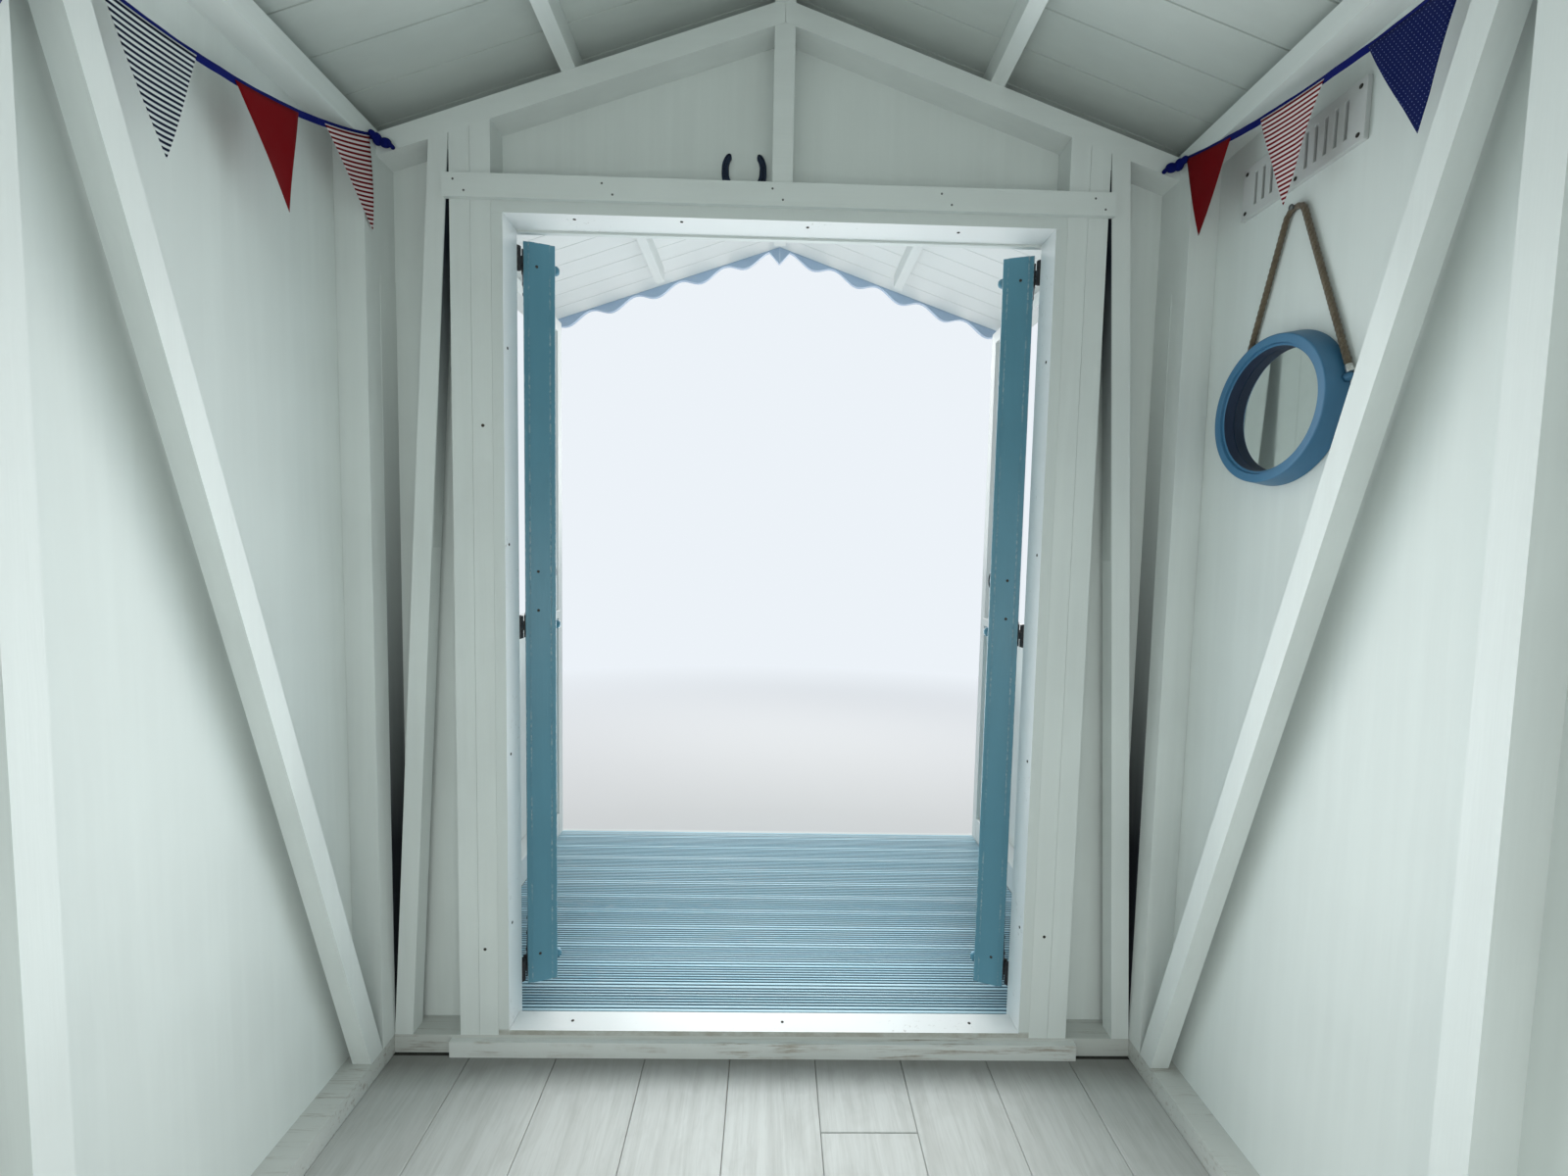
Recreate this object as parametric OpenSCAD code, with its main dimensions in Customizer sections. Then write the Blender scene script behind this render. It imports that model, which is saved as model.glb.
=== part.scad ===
// Beach hut: a timber cabin with double doors and a covered porch.
// The porch front faces -Y, and left and right are as seen from outside, facing it.

/* [Cabin] */
// Clear width between the wall studs
room_w = 1760; // [1500:10:2200]
// Clear depth of the cabin between the wall studs
room_d = 2085; // [1900:5:2800]
// Depth of the porch in front of the cabin's front studs
porch_d = 1220; // [1100:10:1500]
// Roof pitch in degrees
pitch = 19; // [15:1:24]

/* [Timber] */
// Face width of the studs, plates and posts
stud_w = 45; // [38:1:60]
// Depth of the studs through the wall
stud_t = 63; // [55:1:80]
// Height of the sole plates above the floor
sole_h = 45; // [38:1:60]
// Thickness of the wall cladding
clad_t = 16; // [12:1:22]
// Thickness of the boards that cover the cladding's corners
corner_t = 12; // [9:1:18]
// Height of the header rail over the doorway
header_h = 50; // [40:1:70]
// How far the header rail stands proud of the studs
header_proud = 12; // [6:1:20]
// Height from the header rail to the top of the wall plates
over_header = 91; // [80:1:160]
// Depth of the sloping gable rails, square to the slope
rail_h = 45; // [40:1:60]
// Width of a purlin
purlin_w = 30; // [25:1:45]
// Depth of the purlins, square to the slope
purlin_h = 48; // [40:1:60]
// Distance of the middle purlins from the centre line
purlin_x = 466; // [350:1:560]
// Width of the ridge purlin
ridge_w = 45; // [38:1:60]
// How far the purlins stop behind the porch's front
purlin_short = 90; // [60:5:150]
// Size of the diagonal braces
brace_t = 42; // [30:1:50]

/* [Base] */
// Height of the bearers that rest on the ground
bearer_h = 75; // [60:5:120]
// Width of a bearer
bearer_w = 100; // [75:5:140]
// Number of bearers
bearer_n = 5; // [4:1:7]
// Height of the floor joists
joist_h = 95; // [75:5:140]
// Width of a floor joist
joist_w = 45; // [38:1:60]
// Number of floor joists
joist_n = 5; // [4:1:7]
// Thickness of the cabin's structural floor
floor_t = 28; // [20:1:32]
// Thickness of the pale floor planks
cover_t = 12; // [8:1:16]
// Thickness of the porch deck boards
deck_t = 25; // [22:1:30]
// Distance from one deck board to the next
deck_pitch = 91; // [80:1:150]
// Gap between two deck boards
deck_gap = 4; // [3:1:8]

/* [Doorway] */
// Clear width between the door linings
door_way_w = 1220; // [1000:10:1240]
// Height of the doorway above its sill
door_way_h = 1877; // [1700:1:2150]
// Thickness of the door lining
lining_t = 25; // [18:1:30]
// Thickness of the sill board on the sole plate
sill_t = 12; // [8:1:18]
// Thickness of the worn board in front of the sole plate
threshold_t = 15; // [10:1:40]
// Height of that board
threshold_h = 38; // [30:1:45]
// Thickness of the trim over the doorway outside
trim_t = 12; // [8:1:18]

/* [Doors] */
// Thickness of a door leaf's frame
leaf_core_t = 47; // [38:1:50]
// Thickness of the skin on each face of a leaf
leaf_skin_t = 12; // [8:1:14]
// How far the leaves' outer faces are set back from the wall's face
leaf_set = 4; // [2:0.5:6]
// Gap between a leaf and the lining at its hinges
hinge_gap = 6; // [6:1:8]
// Least gap between the two leaves as they swing past each other
meeting_gap = 6; // [5.5:0.5:10]
// Gap over a leaf
leaf_top_gap = 14; // [12:1:20]
// Gap under a leaf
leaf_bottom_gap = 45; // [20:1:50]
// Width of a leaf's stiles and rails
leaf_stile_w = 120; // [110:1:140]
// How far the leaves stand open in the photograph, in degrees
door_open = 110; // [90:1:112]
// Radius of the hinge knuckles
knuckle_r = 8; // [6:0.5:9]
// Radius of the hinge pins
pin_r = 4; // [3:0.5:4.5]
// Radial clearance of a hinge pin in its knuckle
pin_fit = 0.08; // [0.05:0.01:0.1]
// How far the hinge pins stand over the lining, past the doorway's edge
pin_over = 2; // [0:0.5:4]
// Height of a hinge at its knuckles
hinge_h = 54; // [48:1:75]
// Distance from the ends of a leaf to its outer hinges
hinge_inset = 45; // [45:1:150]
// Length of the hinge straps
strap_l = 350; // [250:10:420]
// Thickness of the hinge straps and plates
strap_t = 3; // [2.5:0.5:4]
// Diameter of the domed bolt heads on the inner faces
bolt_d = 23; // [18:1:28]
// Height of the bow handles
handle_h = 60; // [50:5:120]
// How far the handles stand out from the leaves
handle_out = 14; // [12:1:30]

/* [Roof] */
// Thickness of the roof boards
roof_t = 16; // [12:1:22]
// Thickness of the roofing felt
felt_t = 3; // [2:0.5:5]
// How far the eaves reach past the side cladding
eaves_out = 45; // [25:5:90]
// How far the roof reaches past the porch front
front_out = 50; // [30:5:120]
// How far the roof reaches past the back cladding
back_out = 40; // [20:5:90]
// Thickness of the bargeboards
barge_t = 18; // [14:1:24]
// How far a bargeboard hangs below the roof boards at its crests
barge_drop = 5; // [3:1:20]
// Depth of the waves in a bargeboard's lower edge
wave_h = 34; // [20:1:45]
// Length of one wave
wave_l = 184; // [120:1:240]
// Width of the pendant at the apex
pendant_w = 85; // [60:5:150]
// How far the pendant hangs below the bargeboards
pendant_drop = 61; // [30:1:90]

/* [Porch] */
// Drop from the cabin floor to the porch deck
deck_drop = 15; // [5:1:30]
// Height of the porch sides above the cabin floor
porch_rail_z = 937; // [800:1:1000]
// Thickness of the capping rail
cap_t = 32; // [25:1:45]
// How far the capping rail reaches past the posts, inside and outside
cap_out = 8; // [0:1:20]
// Thickness of the boards of the porch sides
porch_board_t = 16; // [12:1:20]
// Height of the porch sides' bottom rail
porch_foot_h = 95; // [70:5:150]

/* [Fittings] */
// Outer diameter of the round mirror's rim
mirror_d = 280; // [240:1:320]
// Width of the rim
rim_w = 24; // [20:1:40]
// Thickness of the rim
rim_t = 38; // [30:1:44]
// Thickness of the mirror glass
glass_t = 4; // [3:1:6]
// Distance of the mirror's centre from the front studs
mirror_y = 262; // [200:1:400]
// Distance of the mirror's centre below the vent's centre
mirror_z = 453; // [450:1:560]
// Diameter of the mirror's rope
rope_d = 11; // [7:1:14]
// Height of the rope's hook above the mirror's centre
rope_rise = 373; // [300:1:390]
// Width of the vent plate
vent_w = 272; // [240:1:300]
// Height of the vent plate
vent_h = 100; // [80:5:120]
// Thickness of the vent plate
vent_t = 9; // [6:1:12]
// Distance of the vent's centre below the wall plates
vent_z = 110; // [70:5:150]
// Width of the horseshoe
shoe_w = 104; // [90:2:110]
// Height of the horseshoe
shoe_h = 92; // [86:2:100]
// Width of the horseshoe's iron
shoe_iron = 18; // [14:1:22]
// Distance of the horseshoe from the king post's centre
shoe_x = 87; // [86:1:300]
// Height of the horseshoe's toe above the header rail
shoe_rise = 2; // [0:1:20]
// Length of a bunting flag
flag_h = 175; // [140:5:220]
// Width of a bunting flag at its tape
flag_w = 138; // [110:1:160]
// Distance from one flag to the next
flag_pitch = 212; // [180:1:300]
// Width of the tape
tape_w = 13; // [10:1:18]
// Distance between the tape's ties
swag_l = 1300; // [900:10:1400]
// Sag of the tape between its ties
swag_drop = 140; // [60:5:180]

/* [Hidden] */

// A fine seam between timbers that are separate pieces
joint = 0.3;

// Levels, from the ground up
joist_z = bearer_h;
floor_z = joist_z + joist_h;
cover_z = floor_z + floor_t;
room_z = cover_z + cover_t;
deck_z = room_z - deck_drop;
stud_z = room_z + sole_h;
sill_z = stud_z + sill_t;
way_top = sill_z + door_way_h;
lining_top = way_top + lining_t;
header_top = lining_top + header_h;
plate_z = header_top + over_header;
stud_top = plate_z - stud_w;
clad_z = joist_z + 20;

// Across the hut, from the centre line
stud_x = room_w / 2;
clad_x = stud_x + stud_t;
side_x = clad_x + clad_t;
eaves_x = side_x + eaves_out;

// Along the hut, centred on the roof
front_face = stud_t + clad_t;
roof_front = porch_d + front_out;
roof_back = room_d + front_face + back_out;
front_y = (roof_front - roof_back) / 2;
porch_y = front_y - porch_d;
wall_y = front_y - front_face;
back_y = front_y + room_d;
back_clad = back_y + stud_t;

// Roof planes: heights on the centre line
slope = tan(pitch);
rail_v = rail_h / cos(pitch);
purlin_v = purlin_h / cos(pitch);
roof_v = roof_t / cos(pitch);
felt_v = felt_t / cos(pitch);
rail_top = plate_z - 8 + slope * stud_x;
boards_z = rail_top + purlin_v;
felt_z = boards_z + roof_v;
roof_top = felt_z + felt_v;
rail_under = rail_top - rail_v;

// Doorway
way_x = door_way_w / 2;
lining_x = way_x + lining_t;
trimmer_x = lining_x + stud_w;
door_stud_x = trimmer_x + stud_w;

// Door leaves, measured from their pins
pin_x = way_x + pin_over;
pin_y = wall_y - knuckle_r;
leaf_x = pin_over + hinge_gap;
leaf_y = knuckle_r + leaf_set;
leaf_t = leaf_core_t + 2 * leaf_skin_t;
inner_y = leaf_y + leaf_t;
reach = pin_x - meeting_gap / 2;
leaf_w = sqrt(reach * reach - inner_y * inner_y) - leaf_x;
leaf_z = sill_z + leaf_bottom_gap;
leaf_h = door_way_h - leaf_bottom_gap - leaf_top_gap;
hinge_z = [leaf_z + hinge_inset, leaf_z + leaf_h / 2, leaf_z + leaf_h - hinge_inset];

module box(x0, x1, y0, y1, z0, z1)
    translate([x0, y0, z0]) cube([x1 - x0, y1 - y0, z1 - z0]);

// One copy on each side of the centre line
module both_sides() {
    children();
    mirror([1, 0, 0]) children();
}

// An outline in X and Z, given thickness from y0 back to y1
module upright(y0, y1)
    translate([0, y1, 0]) rotate([90, 0, 0]) linear_extrude(y1 - y0) children();

// An outline in Y and Z, given thickness from x0 to x1
module sideways(x0, x1)
    translate([x0, 0, 0]) rotate([90, 0, 90]) linear_extrude(x1 - x0) children();

// Height at x of a sloping plane that is z high on the centre line
function sloped(x, z = boards_z) = z - slope * abs(x);

// A stud whose top is cut to a sloping plane
module raked_stud(x0, x1, y0, y1, z0, z)
    upright(y0, y1) polygon([[x0, z0], [x1, z0], [x1, sloped(x1, z)], [x0, sloped(x0, z)]]);

// Base and floors

module bearers() color("dimgray") {
    first = porch_y + bearer_w / 2;
    last = back_clad - bearer_w / 2;
    for (i = [0 : bearer_n - 1]) {
        y = first + (last - first) * i / (bearer_n - 1);
        box(-clad_x, clad_x, y - bearer_w / 2, y + bearer_w / 2, 0, bearer_h);
    }
}

module floor_joists() color("burlywood") {
    first = -clad_x + joist_w / 2;
    for (i = [0 : joist_n - 1]) {
        x = first - 2 * first * i / (joist_n - 1);
        box(x - joist_w / 2, x + joist_w / 2, porch_y, back_clad, joist_z, floor_z);
    }
}

module cabin_floor() color("tan")
    box(-clad_x, clad_x, front_y - stud_t, back_clad, floor_z, cover_z);

module floor_planks() color("gainsboro")
    box(-stud_x, stud_x, front_y, back_y, cover_z, room_z);

// Boards laid from the cabin outwards, the last one cut to fit
module porch_deck() color("steelblue") {
    near = wall_y - deck_gap;
    count = ceil((near - porch_y) / deck_pitch);
    for (i = [0 : count - 1]) {
        y = near - i * deck_pitch;
        box(-stud_x, stud_x, max(porch_y, y - deck_pitch + deck_gap), y, floor_z, deck_z);
    }
}

module deck_fascia() color("white")
    box(-side_x, side_x, porch_y - clad_t, porch_y, clad_z, deck_z);

// Wall frames

module sole_plates() color("white") {
    both_sides() box(stud_x, clad_x, front_y + joint, back_y - joint, cover_z, stud_z);
    box(-clad_x, clad_x, front_y - stud_t, front_y, cover_z, stud_z);
    box(-clad_x, clad_x, back_y, back_clad, cover_z, stud_z);
}

bays = 3;
bay = (room_d - stud_w) / bays;

module side_studs() color("white") both_sides()
    for (i = [0 : bays])
        box(stud_x, clad_x, front_y + i * bay, front_y + i * bay + stud_w, stud_z, stud_top);

// A trimmer and a stud on each side of the doorway, and a corner stud
module front_studs() color("white") both_sides() {
    raked_stud(lining_x + joint, trimmer_x - joint, front_y - stud_t, front_y, stud_z, rail_under);
    raked_stud(trimmer_x + joint, door_stud_x, front_y - stud_t, front_y, stud_z, rail_under);
    box(stud_x, clad_x, front_y - stud_t, front_y, stud_z, stud_top);
}

module back_studs() color("white") both_sides() {
    box(stud_x, clad_x, back_y, back_clad, stud_z, stud_top);
    raked_stud(stud_x / 2 - stud_w / 2, stud_x / 2 + stud_w / 2, back_y, back_clad, stud_z, rail_under);
}

// Wall plates, in one length over the cabin and another over the porch
module top_plates() color("white") both_sides() {
    box(stud_x, clad_x, front_y - stud_t, back_clad, stud_top, plate_z);
    box(stud_x, clad_x, porch_y, wall_y, stud_top, plate_z);
}

module front_brace() {
    foot = stud_x - 1;
    head = door_stud_x + 1;
    top = sloped(head + brace_t, rail_under);
    upright(front_y - brace_t, front_y) polygon([
        [foot - brace_t, stud_z], [foot, stud_z], [head + brace_t, top], [head, sloped(head, rail_under)]
    ]);
}

// Leans from the foot of the corner up to the next stud
module side_brace(y)
    sideways(stud_x, stud_x + brace_t) polygon([
        [y + stud_w + 1, stud_z], [y + stud_w + 1 + brace_t, stud_z],
        [y + bay - 1, stud_top], [y + bay - 1 - brace_t, stud_top]
    ]);

module braces() color("white") both_sides() {
    front_brace();
    side_brace(front_y);
}

module header_rail() color("white")
    box(-door_stud_x - 10, door_stud_x + 10, front_y, front_y + header_proud, lining_top, header_top);

// Two gable rails mitred under the ridge, and a king post below them
module gable_frame(y, post_z) upright(y, y + stud_t) {
    seat = sloped(ridge_w / 2, rail_top);
    post_x = stud_w / 2;
    both_sides() polygon([
        [joint, seat], [ridge_w / 2, seat], [stud_x, sloped(stud_x, rail_top)],
        [stud_x, sloped(stud_x, rail_under)], [joint, sloped(joint, rail_under)]
    ]);
    polygon([
        [-post_x, post_z], [post_x, post_z], [post_x, sloped(post_x, rail_under) - joint],
        [0, rail_under - joint], [-post_x, sloped(post_x, rail_under) - joint]
    ]);
}

module gable_frames() color("white") {
    gable_frame(front_y - stud_t, lining_top);
    gable_frame(back_y, stud_z);
}

// Outlines of the two purlins and the ridge, grown by a little for their notches
module purlin_outlines(grow = 0) {
    lift = grow - joint / 3;
    both_sides() {
        x0 = purlin_x - purlin_w / 2 - grow;
        x1 = purlin_x + purlin_w / 2 + grow;
        polygon([
            [x0, sloped(x0, rail_top) - grow], [x1, sloped(x1, rail_top) - grow],
            [x1, sloped(x1) + lift], [x0, sloped(x0) + lift]
        ]);
    }
    half = ridge_w / 2 + grow;
    foot = sloped(ridge_w / 2, rail_top) - grow;
    top = sloped(half) + lift;
    polygon([[-half, foot], [half, foot], [half, top], [0, boards_z + lift], [-half, top]]);
}

module purlins() color("white")
    upright(porch_y + purlin_short, back_clad) purlin_outlines();

// Cladding

module side_wall() color("white")
    upright(front_y - stud_t, back_clad) polygon([
        [clad_x, clad_z], [side_x, clad_z], [side_x, sloped(side_x)], [clad_x, sloped(clad_x)]
    ]);

module left_wall() mirror([1, 0, 0]) side_wall();
module right_wall() side_wall();

module back_wall() color("white")
    upright(back_clad, back_clad + clad_t) polygon([
        [-side_x, clad_z], [side_x, clad_z], [side_x, sloped(side_x)],
        [0, boards_z], [-side_x, sloped(side_x)]
    ]);

module front_wall_right() color("white")
    raked_stud(lining_x, side_x, wall_y, front_y - stud_t, floor_z, boards_z);

module front_wall_left() mirror([1, 0, 0]) front_wall_right();

// Cladding over the doorway, notched over the purlins
module front_gable() color("white")
    upright(wall_y, front_y - stud_t) difference() {
        edge = lining_x - joint;
        polygon([
            [-edge, lining_top], [edge, lining_top],
            [edge, sloped(edge)], [0, boards_z], [-edge, sloped(edge)]
        ]);
        purlin_outlines(0.5);
    }

// Boards over the ends of the cladding, at the back corners and low down at the porch front
module corner_boards() color("white") both_sides() {
    back_face = back_clad + clad_t;
    outer_x = side_x + corner_t;
    porch_top = room_z + porch_rail_z;
    box(side_x, outer_x, back_face - stud_w, back_face + corner_t, clad_z, sloped(outer_x));
    box(side_x - stud_w, side_x - joint, back_face, back_face + corner_t, clad_z, sloped(side_x));
    box(side_x, outer_x, porch_y - clad_t, porch_y + stud_w, clad_z, porch_top);
}

// Doorway

module door_lining() color("white") {
    both_sides() box(way_x, lining_x, wall_y, front_y, stud_z, way_top - joint);
    box(-lining_x, lining_x, wall_y, front_y, way_top, lining_top);
    box(-way_x + joint, way_x - joint, front_y - stud_t, front_y, stud_z, sill_z);
}

// The trim over the doorway outside, and the board below its sill
module doorway_trim() color("white") {
    box(-lining_x - 40, lining_x + 40, wall_y - trim_t, wall_y, way_top - 5, way_top + 40);
    box(-lining_x + joint, lining_x - joint, wall_y, front_y - stud_t, floor_z, stud_z);
}

module threshold_board() color("gray")
    box(-door_stud_x - 20, door_stud_x + 20, front_y, front_y + threshold_t, room_z, room_z + threshold_h);

// Doors: each is drawn closed about the right pin, with its outer face towards -Y

module leaf_box(y0, y1)
    box(-leaf_x - leaf_w, -leaf_x, leaf_y + y0, leaf_y + y1, leaf_z, leaf_z + leaf_h);

// Swings what is drawn about the right pin to the pose in the photograph
module right_leaf() translate([pin_x, pin_y, 0]) rotate([0, 0, door_open]) children();
module left_leaf() mirror([1, 0, 0]) right_leaf() children();

// Stiles, rails and a middle rail
module door_frame() color("cadetblue") difference() {
    panel_h = (leaf_h - 3 * leaf_stile_w) / 2;
    leaf_box(leaf_skin_t, leaf_skin_t + leaf_core_t);
    for (z = [leaf_z + leaf_stile_w, leaf_z + 2 * leaf_stile_w + panel_h])
        box(-leaf_x - leaf_w + leaf_stile_w, -leaf_x - leaf_stile_w, leaf_y, inner_y, z, z + panel_h);
}

module door_skins() color("cadetblue") {
    leaf_box(0, leaf_skin_t);
    leaf_box(leaf_skin_t + leaf_core_t, leaf_t);
}

knuckle_h = hinge_h / 3;
plate_w = 38;
strap_tip = 24;
bolt_x = -leaf_x - 35;

module knuckle(z, h, bore = 0) translate([0, 0, z - h / 2]) difference() {
    cylinder(r = knuckle_r, h = h, $fn = 32);
    if (bore > 0) translate([0, 0, -1]) cylinder(r = bore, h = h + 2, $fn = 32);
}

// A tapered strap on the outer face, joined to its knuckle by a short crank
module strap(z) {
    crank_h = knuckle_h - 2 * joint;
    translate([0, 0, z]) upright(leaf_y - strap_t, leaf_y) {
        polygon([
            [-leaf_x - 2, -hinge_h / 2], [-leaf_x - 2, hinge_h / 2],
            [-strap_l + strap_tip / 2, strap_tip / 2], [-strap_l + strap_tip / 2, -strap_tip / 2]
        ]);
        translate([-strap_l + strap_tip / 2, 0]) circle(d = strap_tip, $fn = 48);
    }
    box(-leaf_x - 4, -pin_r - 1, pin_r, leaf_y, z - crank_h / 2, z + crank_h / 2);
}

// A coach bolt's domed head on the inner face
module bolt_head(z) translate([bolt_x, inner_y, z]) rotate([-90, 0, 0])
    rotate_extrude($fn = 48) intersection() {
        circle(d = bolt_d, $fn = 48);
        square(bolt_d);
    }

module door_ironwork() color("dimgray") for (z = hinge_z) {
    knuckle(z, knuckle_h - 2 * joint, pin_r + pin_fit);
    strap(z);
    bolt_head(z);
}

// Fixed plates on the wall, with the pins and the outer knuckles
module jamb_hinges() color("dimgray") both_sides() translate([pin_x, pin_y, 0]) for (z = hinge_z) {
    translate([0, 0, z - hinge_h / 2]) cylinder(r = pin_r, h = hinge_h, $fn = 32);
    box(knuckle_r + 1, plate_w, knuckle_r - strap_t, knuckle_r, z - hinge_h / 2, z + hinge_h / 2);
    for (side = [-1, 1]) {
        knuckle(z + side * knuckle_h, knuckle_h);
        box(pin_r, knuckle_r + 2, knuckle_r - strap_t, knuckle_r,
            z + side * knuckle_h - knuckle_h / 2, z + side * knuckle_h + knuckle_h / 2);
    }
}

// A bow handle near the leaf's free edge
module door_handle() color("dimgray") {
    x = -leaf_x - leaf_w + 76;
    z = leaf_z + leaf_h * 0.56;
    bow_r = (handle_h * handle_h / 4 + handle_out * handle_out) / (2 * handle_out);
    translate([0, inner_y + handle_out - bow_r, z]) sideways(x - 4, x + 4) intersection() {
        difference() {
            circle(r = bow_r, $fn = 96);
            circle(r = bow_r - 4, $fn = 96);
        }
        translate([bow_r - handle_out, -handle_h / 2]) square([handle_out, handle_h]);
    }
}

module right_door_frame() right_leaf() door_frame();
module right_door_skins() right_leaf() door_skins();
module right_door_ironwork() right_leaf() door_ironwork();
module right_door_handle() right_leaf() door_handle();
module left_door_frame() left_leaf() door_frame();
module left_door_skins() left_leaf() door_skins();
module left_door_ironwork() left_leaf() door_ironwork();
module left_door_handle() left_leaf() door_handle();

// Roof

module roof_slabs(z, thick, x_in = joint)
    upright(front_y - roof_front, front_y + roof_back) both_sides() polygon([
        [x_in, sloped(x_in, z)], [eaves_x, sloped(eaves_x, z)],
        [eaves_x, sloped(eaves_x, z + thick)], [x_in, sloped(x_in, z + thick)]
    ]);

module roof_boards() color("white") roof_slabs(boards_z, roof_v);
module roof_felt() color("darkslategray") roof_slabs(felt_z, felt_v);

// How far the bargeboard's lower edge is below the roof boards
function barge_edge(x) = barge_drop + wave_h * (1 - cos(360 * (x - pendant_w / 2) / wave_l)) / 2;

// Two boards that meet at the apex, each with half of the pendant
module barge_pair(y) {
    steps = 72;
    start = pendant_w / 2;
    upright(y, y + barge_t) both_sides() polygon([
        [joint, boards_z - barge_drop - pendant_drop],
        for (i = [0 : steps]) let (x = start + (eaves_x - start) * i / steps)
            [x, sloped(x) - barge_edge(x)],
        [eaves_x, sloped(eaves_x, roof_top)],
        [joint, sloped(joint, roof_top)]
    ]);
}

module bargeboards() color("lightsteelblue") {
    barge_pair(front_y - roof_front - barge_t);
    barge_pair(front_y + roof_back);
}

// Porch

module porch_posts() color("white") both_sides()
    for (y = [porch_y, wall_y - stud_w])
        box(stud_x, clad_x, y, y + stud_w, floor_z, stud_top);

module porch_sides() color("white") both_sides() {
    rail_y0 = porch_y + stud_w + joint;
    rail_y1 = wall_y - stud_w - joint;
    cap_z = room_z + porch_rail_z - cap_t;
    box(clad_x, clad_x + porch_board_t, porch_y, wall_y, clad_z, cap_z - joint);
    box(stud_x - cap_out, clad_x + porch_board_t + cap_out, rail_y0, rail_y1, cap_z, cap_z + cap_t);
    box(stud_x, clad_x - joint, rail_y0, rail_y1, deck_z, deck_z + porch_foot_h);
}

// Fittings on the left wall, over the doorway and under the plates

module on_left_wall(below_plates)
    translate([-clad_x, front_y + mirror_y, stud_top - below_plates]) rotate([90, 0, 90]) children();

mirror_below = vent_z + mirror_z;

slot_n = 5;
slot_w = 7;
slot_h = 62;
slot_pitch = 15;

// A plate with two groups of slots
module vent() color("whitesmoke") on_left_wall(vent_z) linear_extrude(vent_t) difference() {
    square([vent_w, vent_h], center = true);
    for (side = [-1, 1], i = [0 : slot_n - 1])
        translate([side * vent_w / 4 + (i - (slot_n - 1) / 2) * slot_pitch, 0])
            square([slot_w, slot_h], center = true);
}

rebate = 6;
glass_r = mirror_d / 2 - rim_w + rebate;
glass_top = 12;

// A turned rim: tapered outside, with a flat band, a groove and a small inner step
module mirror_rim() color("steelblue") on_left_wall(mirror_below) rotate_extrude($fn = 96) {
    taper = 6;
    round_r = 3;
    front_r = mirror_d / 2 - taper;
    lip = glass_r - rebate;
    polygon([
        [glass_r, 0], [mirror_d / 2, 0],
        for (a = [0 : 30 : 90]) [front_r - round_r * (1 - cos(a)), rim_t - round_r * (1 - sin(a))],
        [lip + 6, rim_t], [lip + 5, rim_t - 5], [lip + 1, rim_t - 5], [lip, rim_t - 7],
        [lip, glass_top], [glass_r, glass_top]
    ]);
}

module mirror_glass() color("lightgray") on_left_wall(mirror_below)
    translate([0, 0, glass_top - glass_t]) cylinder(r = glass_r - joint, h = glass_t, $fn = 96);

hook_x = 2;
rope_r = mirror_d / 2 + rope_d / 2 + joint;

// From the hook down to a point beside the rim
module rope_leg(end_x, end_y) {
    run = norm([hook_x - end_x, rope_rise - end_y]);
    translate([end_x, end_y, rope_d / 2]) rotate([0, 90, atan2(rope_rise - end_y, hook_x - end_x)])
        cylinder(d = rope_d, h = run, $fn = 24);
}

// One leg ends at the rim, and the other touches it and runs on a little
module mirror_rope() color("peru") on_left_wall(mirror_below) {
    past = 22;
    touch = atan2(rope_rise, hook_x) - acos(rope_r / norm([hook_x, rope_rise]));
    rope_leg(rope_r * cos(137), rope_r * sin(137));
    rope_leg(rope_r * cos(touch) + past * sin(touch), rope_r * sin(touch) - past * cos(touch));
    translate([hook_x, rope_rise, 0]) cylinder(d = rope_d + 3, h = rope_d * 1.5, $fn = 24);
}

module shoe_outline(d, leg = 10) {
    for (z = [0, leg]) translate([0, shoe_w / 2 + z]) circle(d = d, $fn = 64);
    translate([-d / 2, shoe_w / 2]) square([d, leg]);
}

// An oval ring of iron, open at the top, nailed to the gable cladding
module horseshoe() color("midnightblue") {
    back = front_y - stud_t;
    translate([shoe_x, 0, header_top + shoe_rise]) upright(back, back + 8) difference() {
        shoe_outline(shoe_w);
        shoe_outline(shoe_w - 2 * shoe_iron);
        translate([-shoe_w / 2, shoe_h]) square(shoe_w);
    }
}

tape_z = plate_z - 25;
first_flag = 95;

// Height of the tape's middle at a distance from the front corner
function tape_at(y) = let (u = 2 * y / swag_l - 1) tape_z - swag_drop * (1 - u * u);

module tape_outline() {
    steps = 36;
    ys = [for (i = [0 : steps]) i * swag_l / steps];
    polygon(concat(
        [for (y = ys) [front_y + y, tape_at(y) + tape_w / 2]],
        [for (i = [steps : -1 : 0]) [front_y + ys[i], tape_at(ys[i]) - tape_w / 2]]
    ));
}

module flag_outline(y) {
    y0 = y - flag_w / 2;
    y1 = y + flag_w / 2;
    polygon([[front_y + y0, tape_at(y0)], [front_y + y1, tape_at(y1)], [front_y + y, tape_at(y) - flag_h]]);
}

// Tape tied along the wall plate, with its flags
module bunting() color("firebrick") sideways(stud_x - 2 - joint, stud_x - joint) {
    tape_outline();
    for (y = [first_flag : flag_pitch : swag_l - flag_w]) flag_outline(y);
}

module right_bunting() bunting();
module left_bunting() mirror([1, 0, 0]) bunting();

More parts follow.
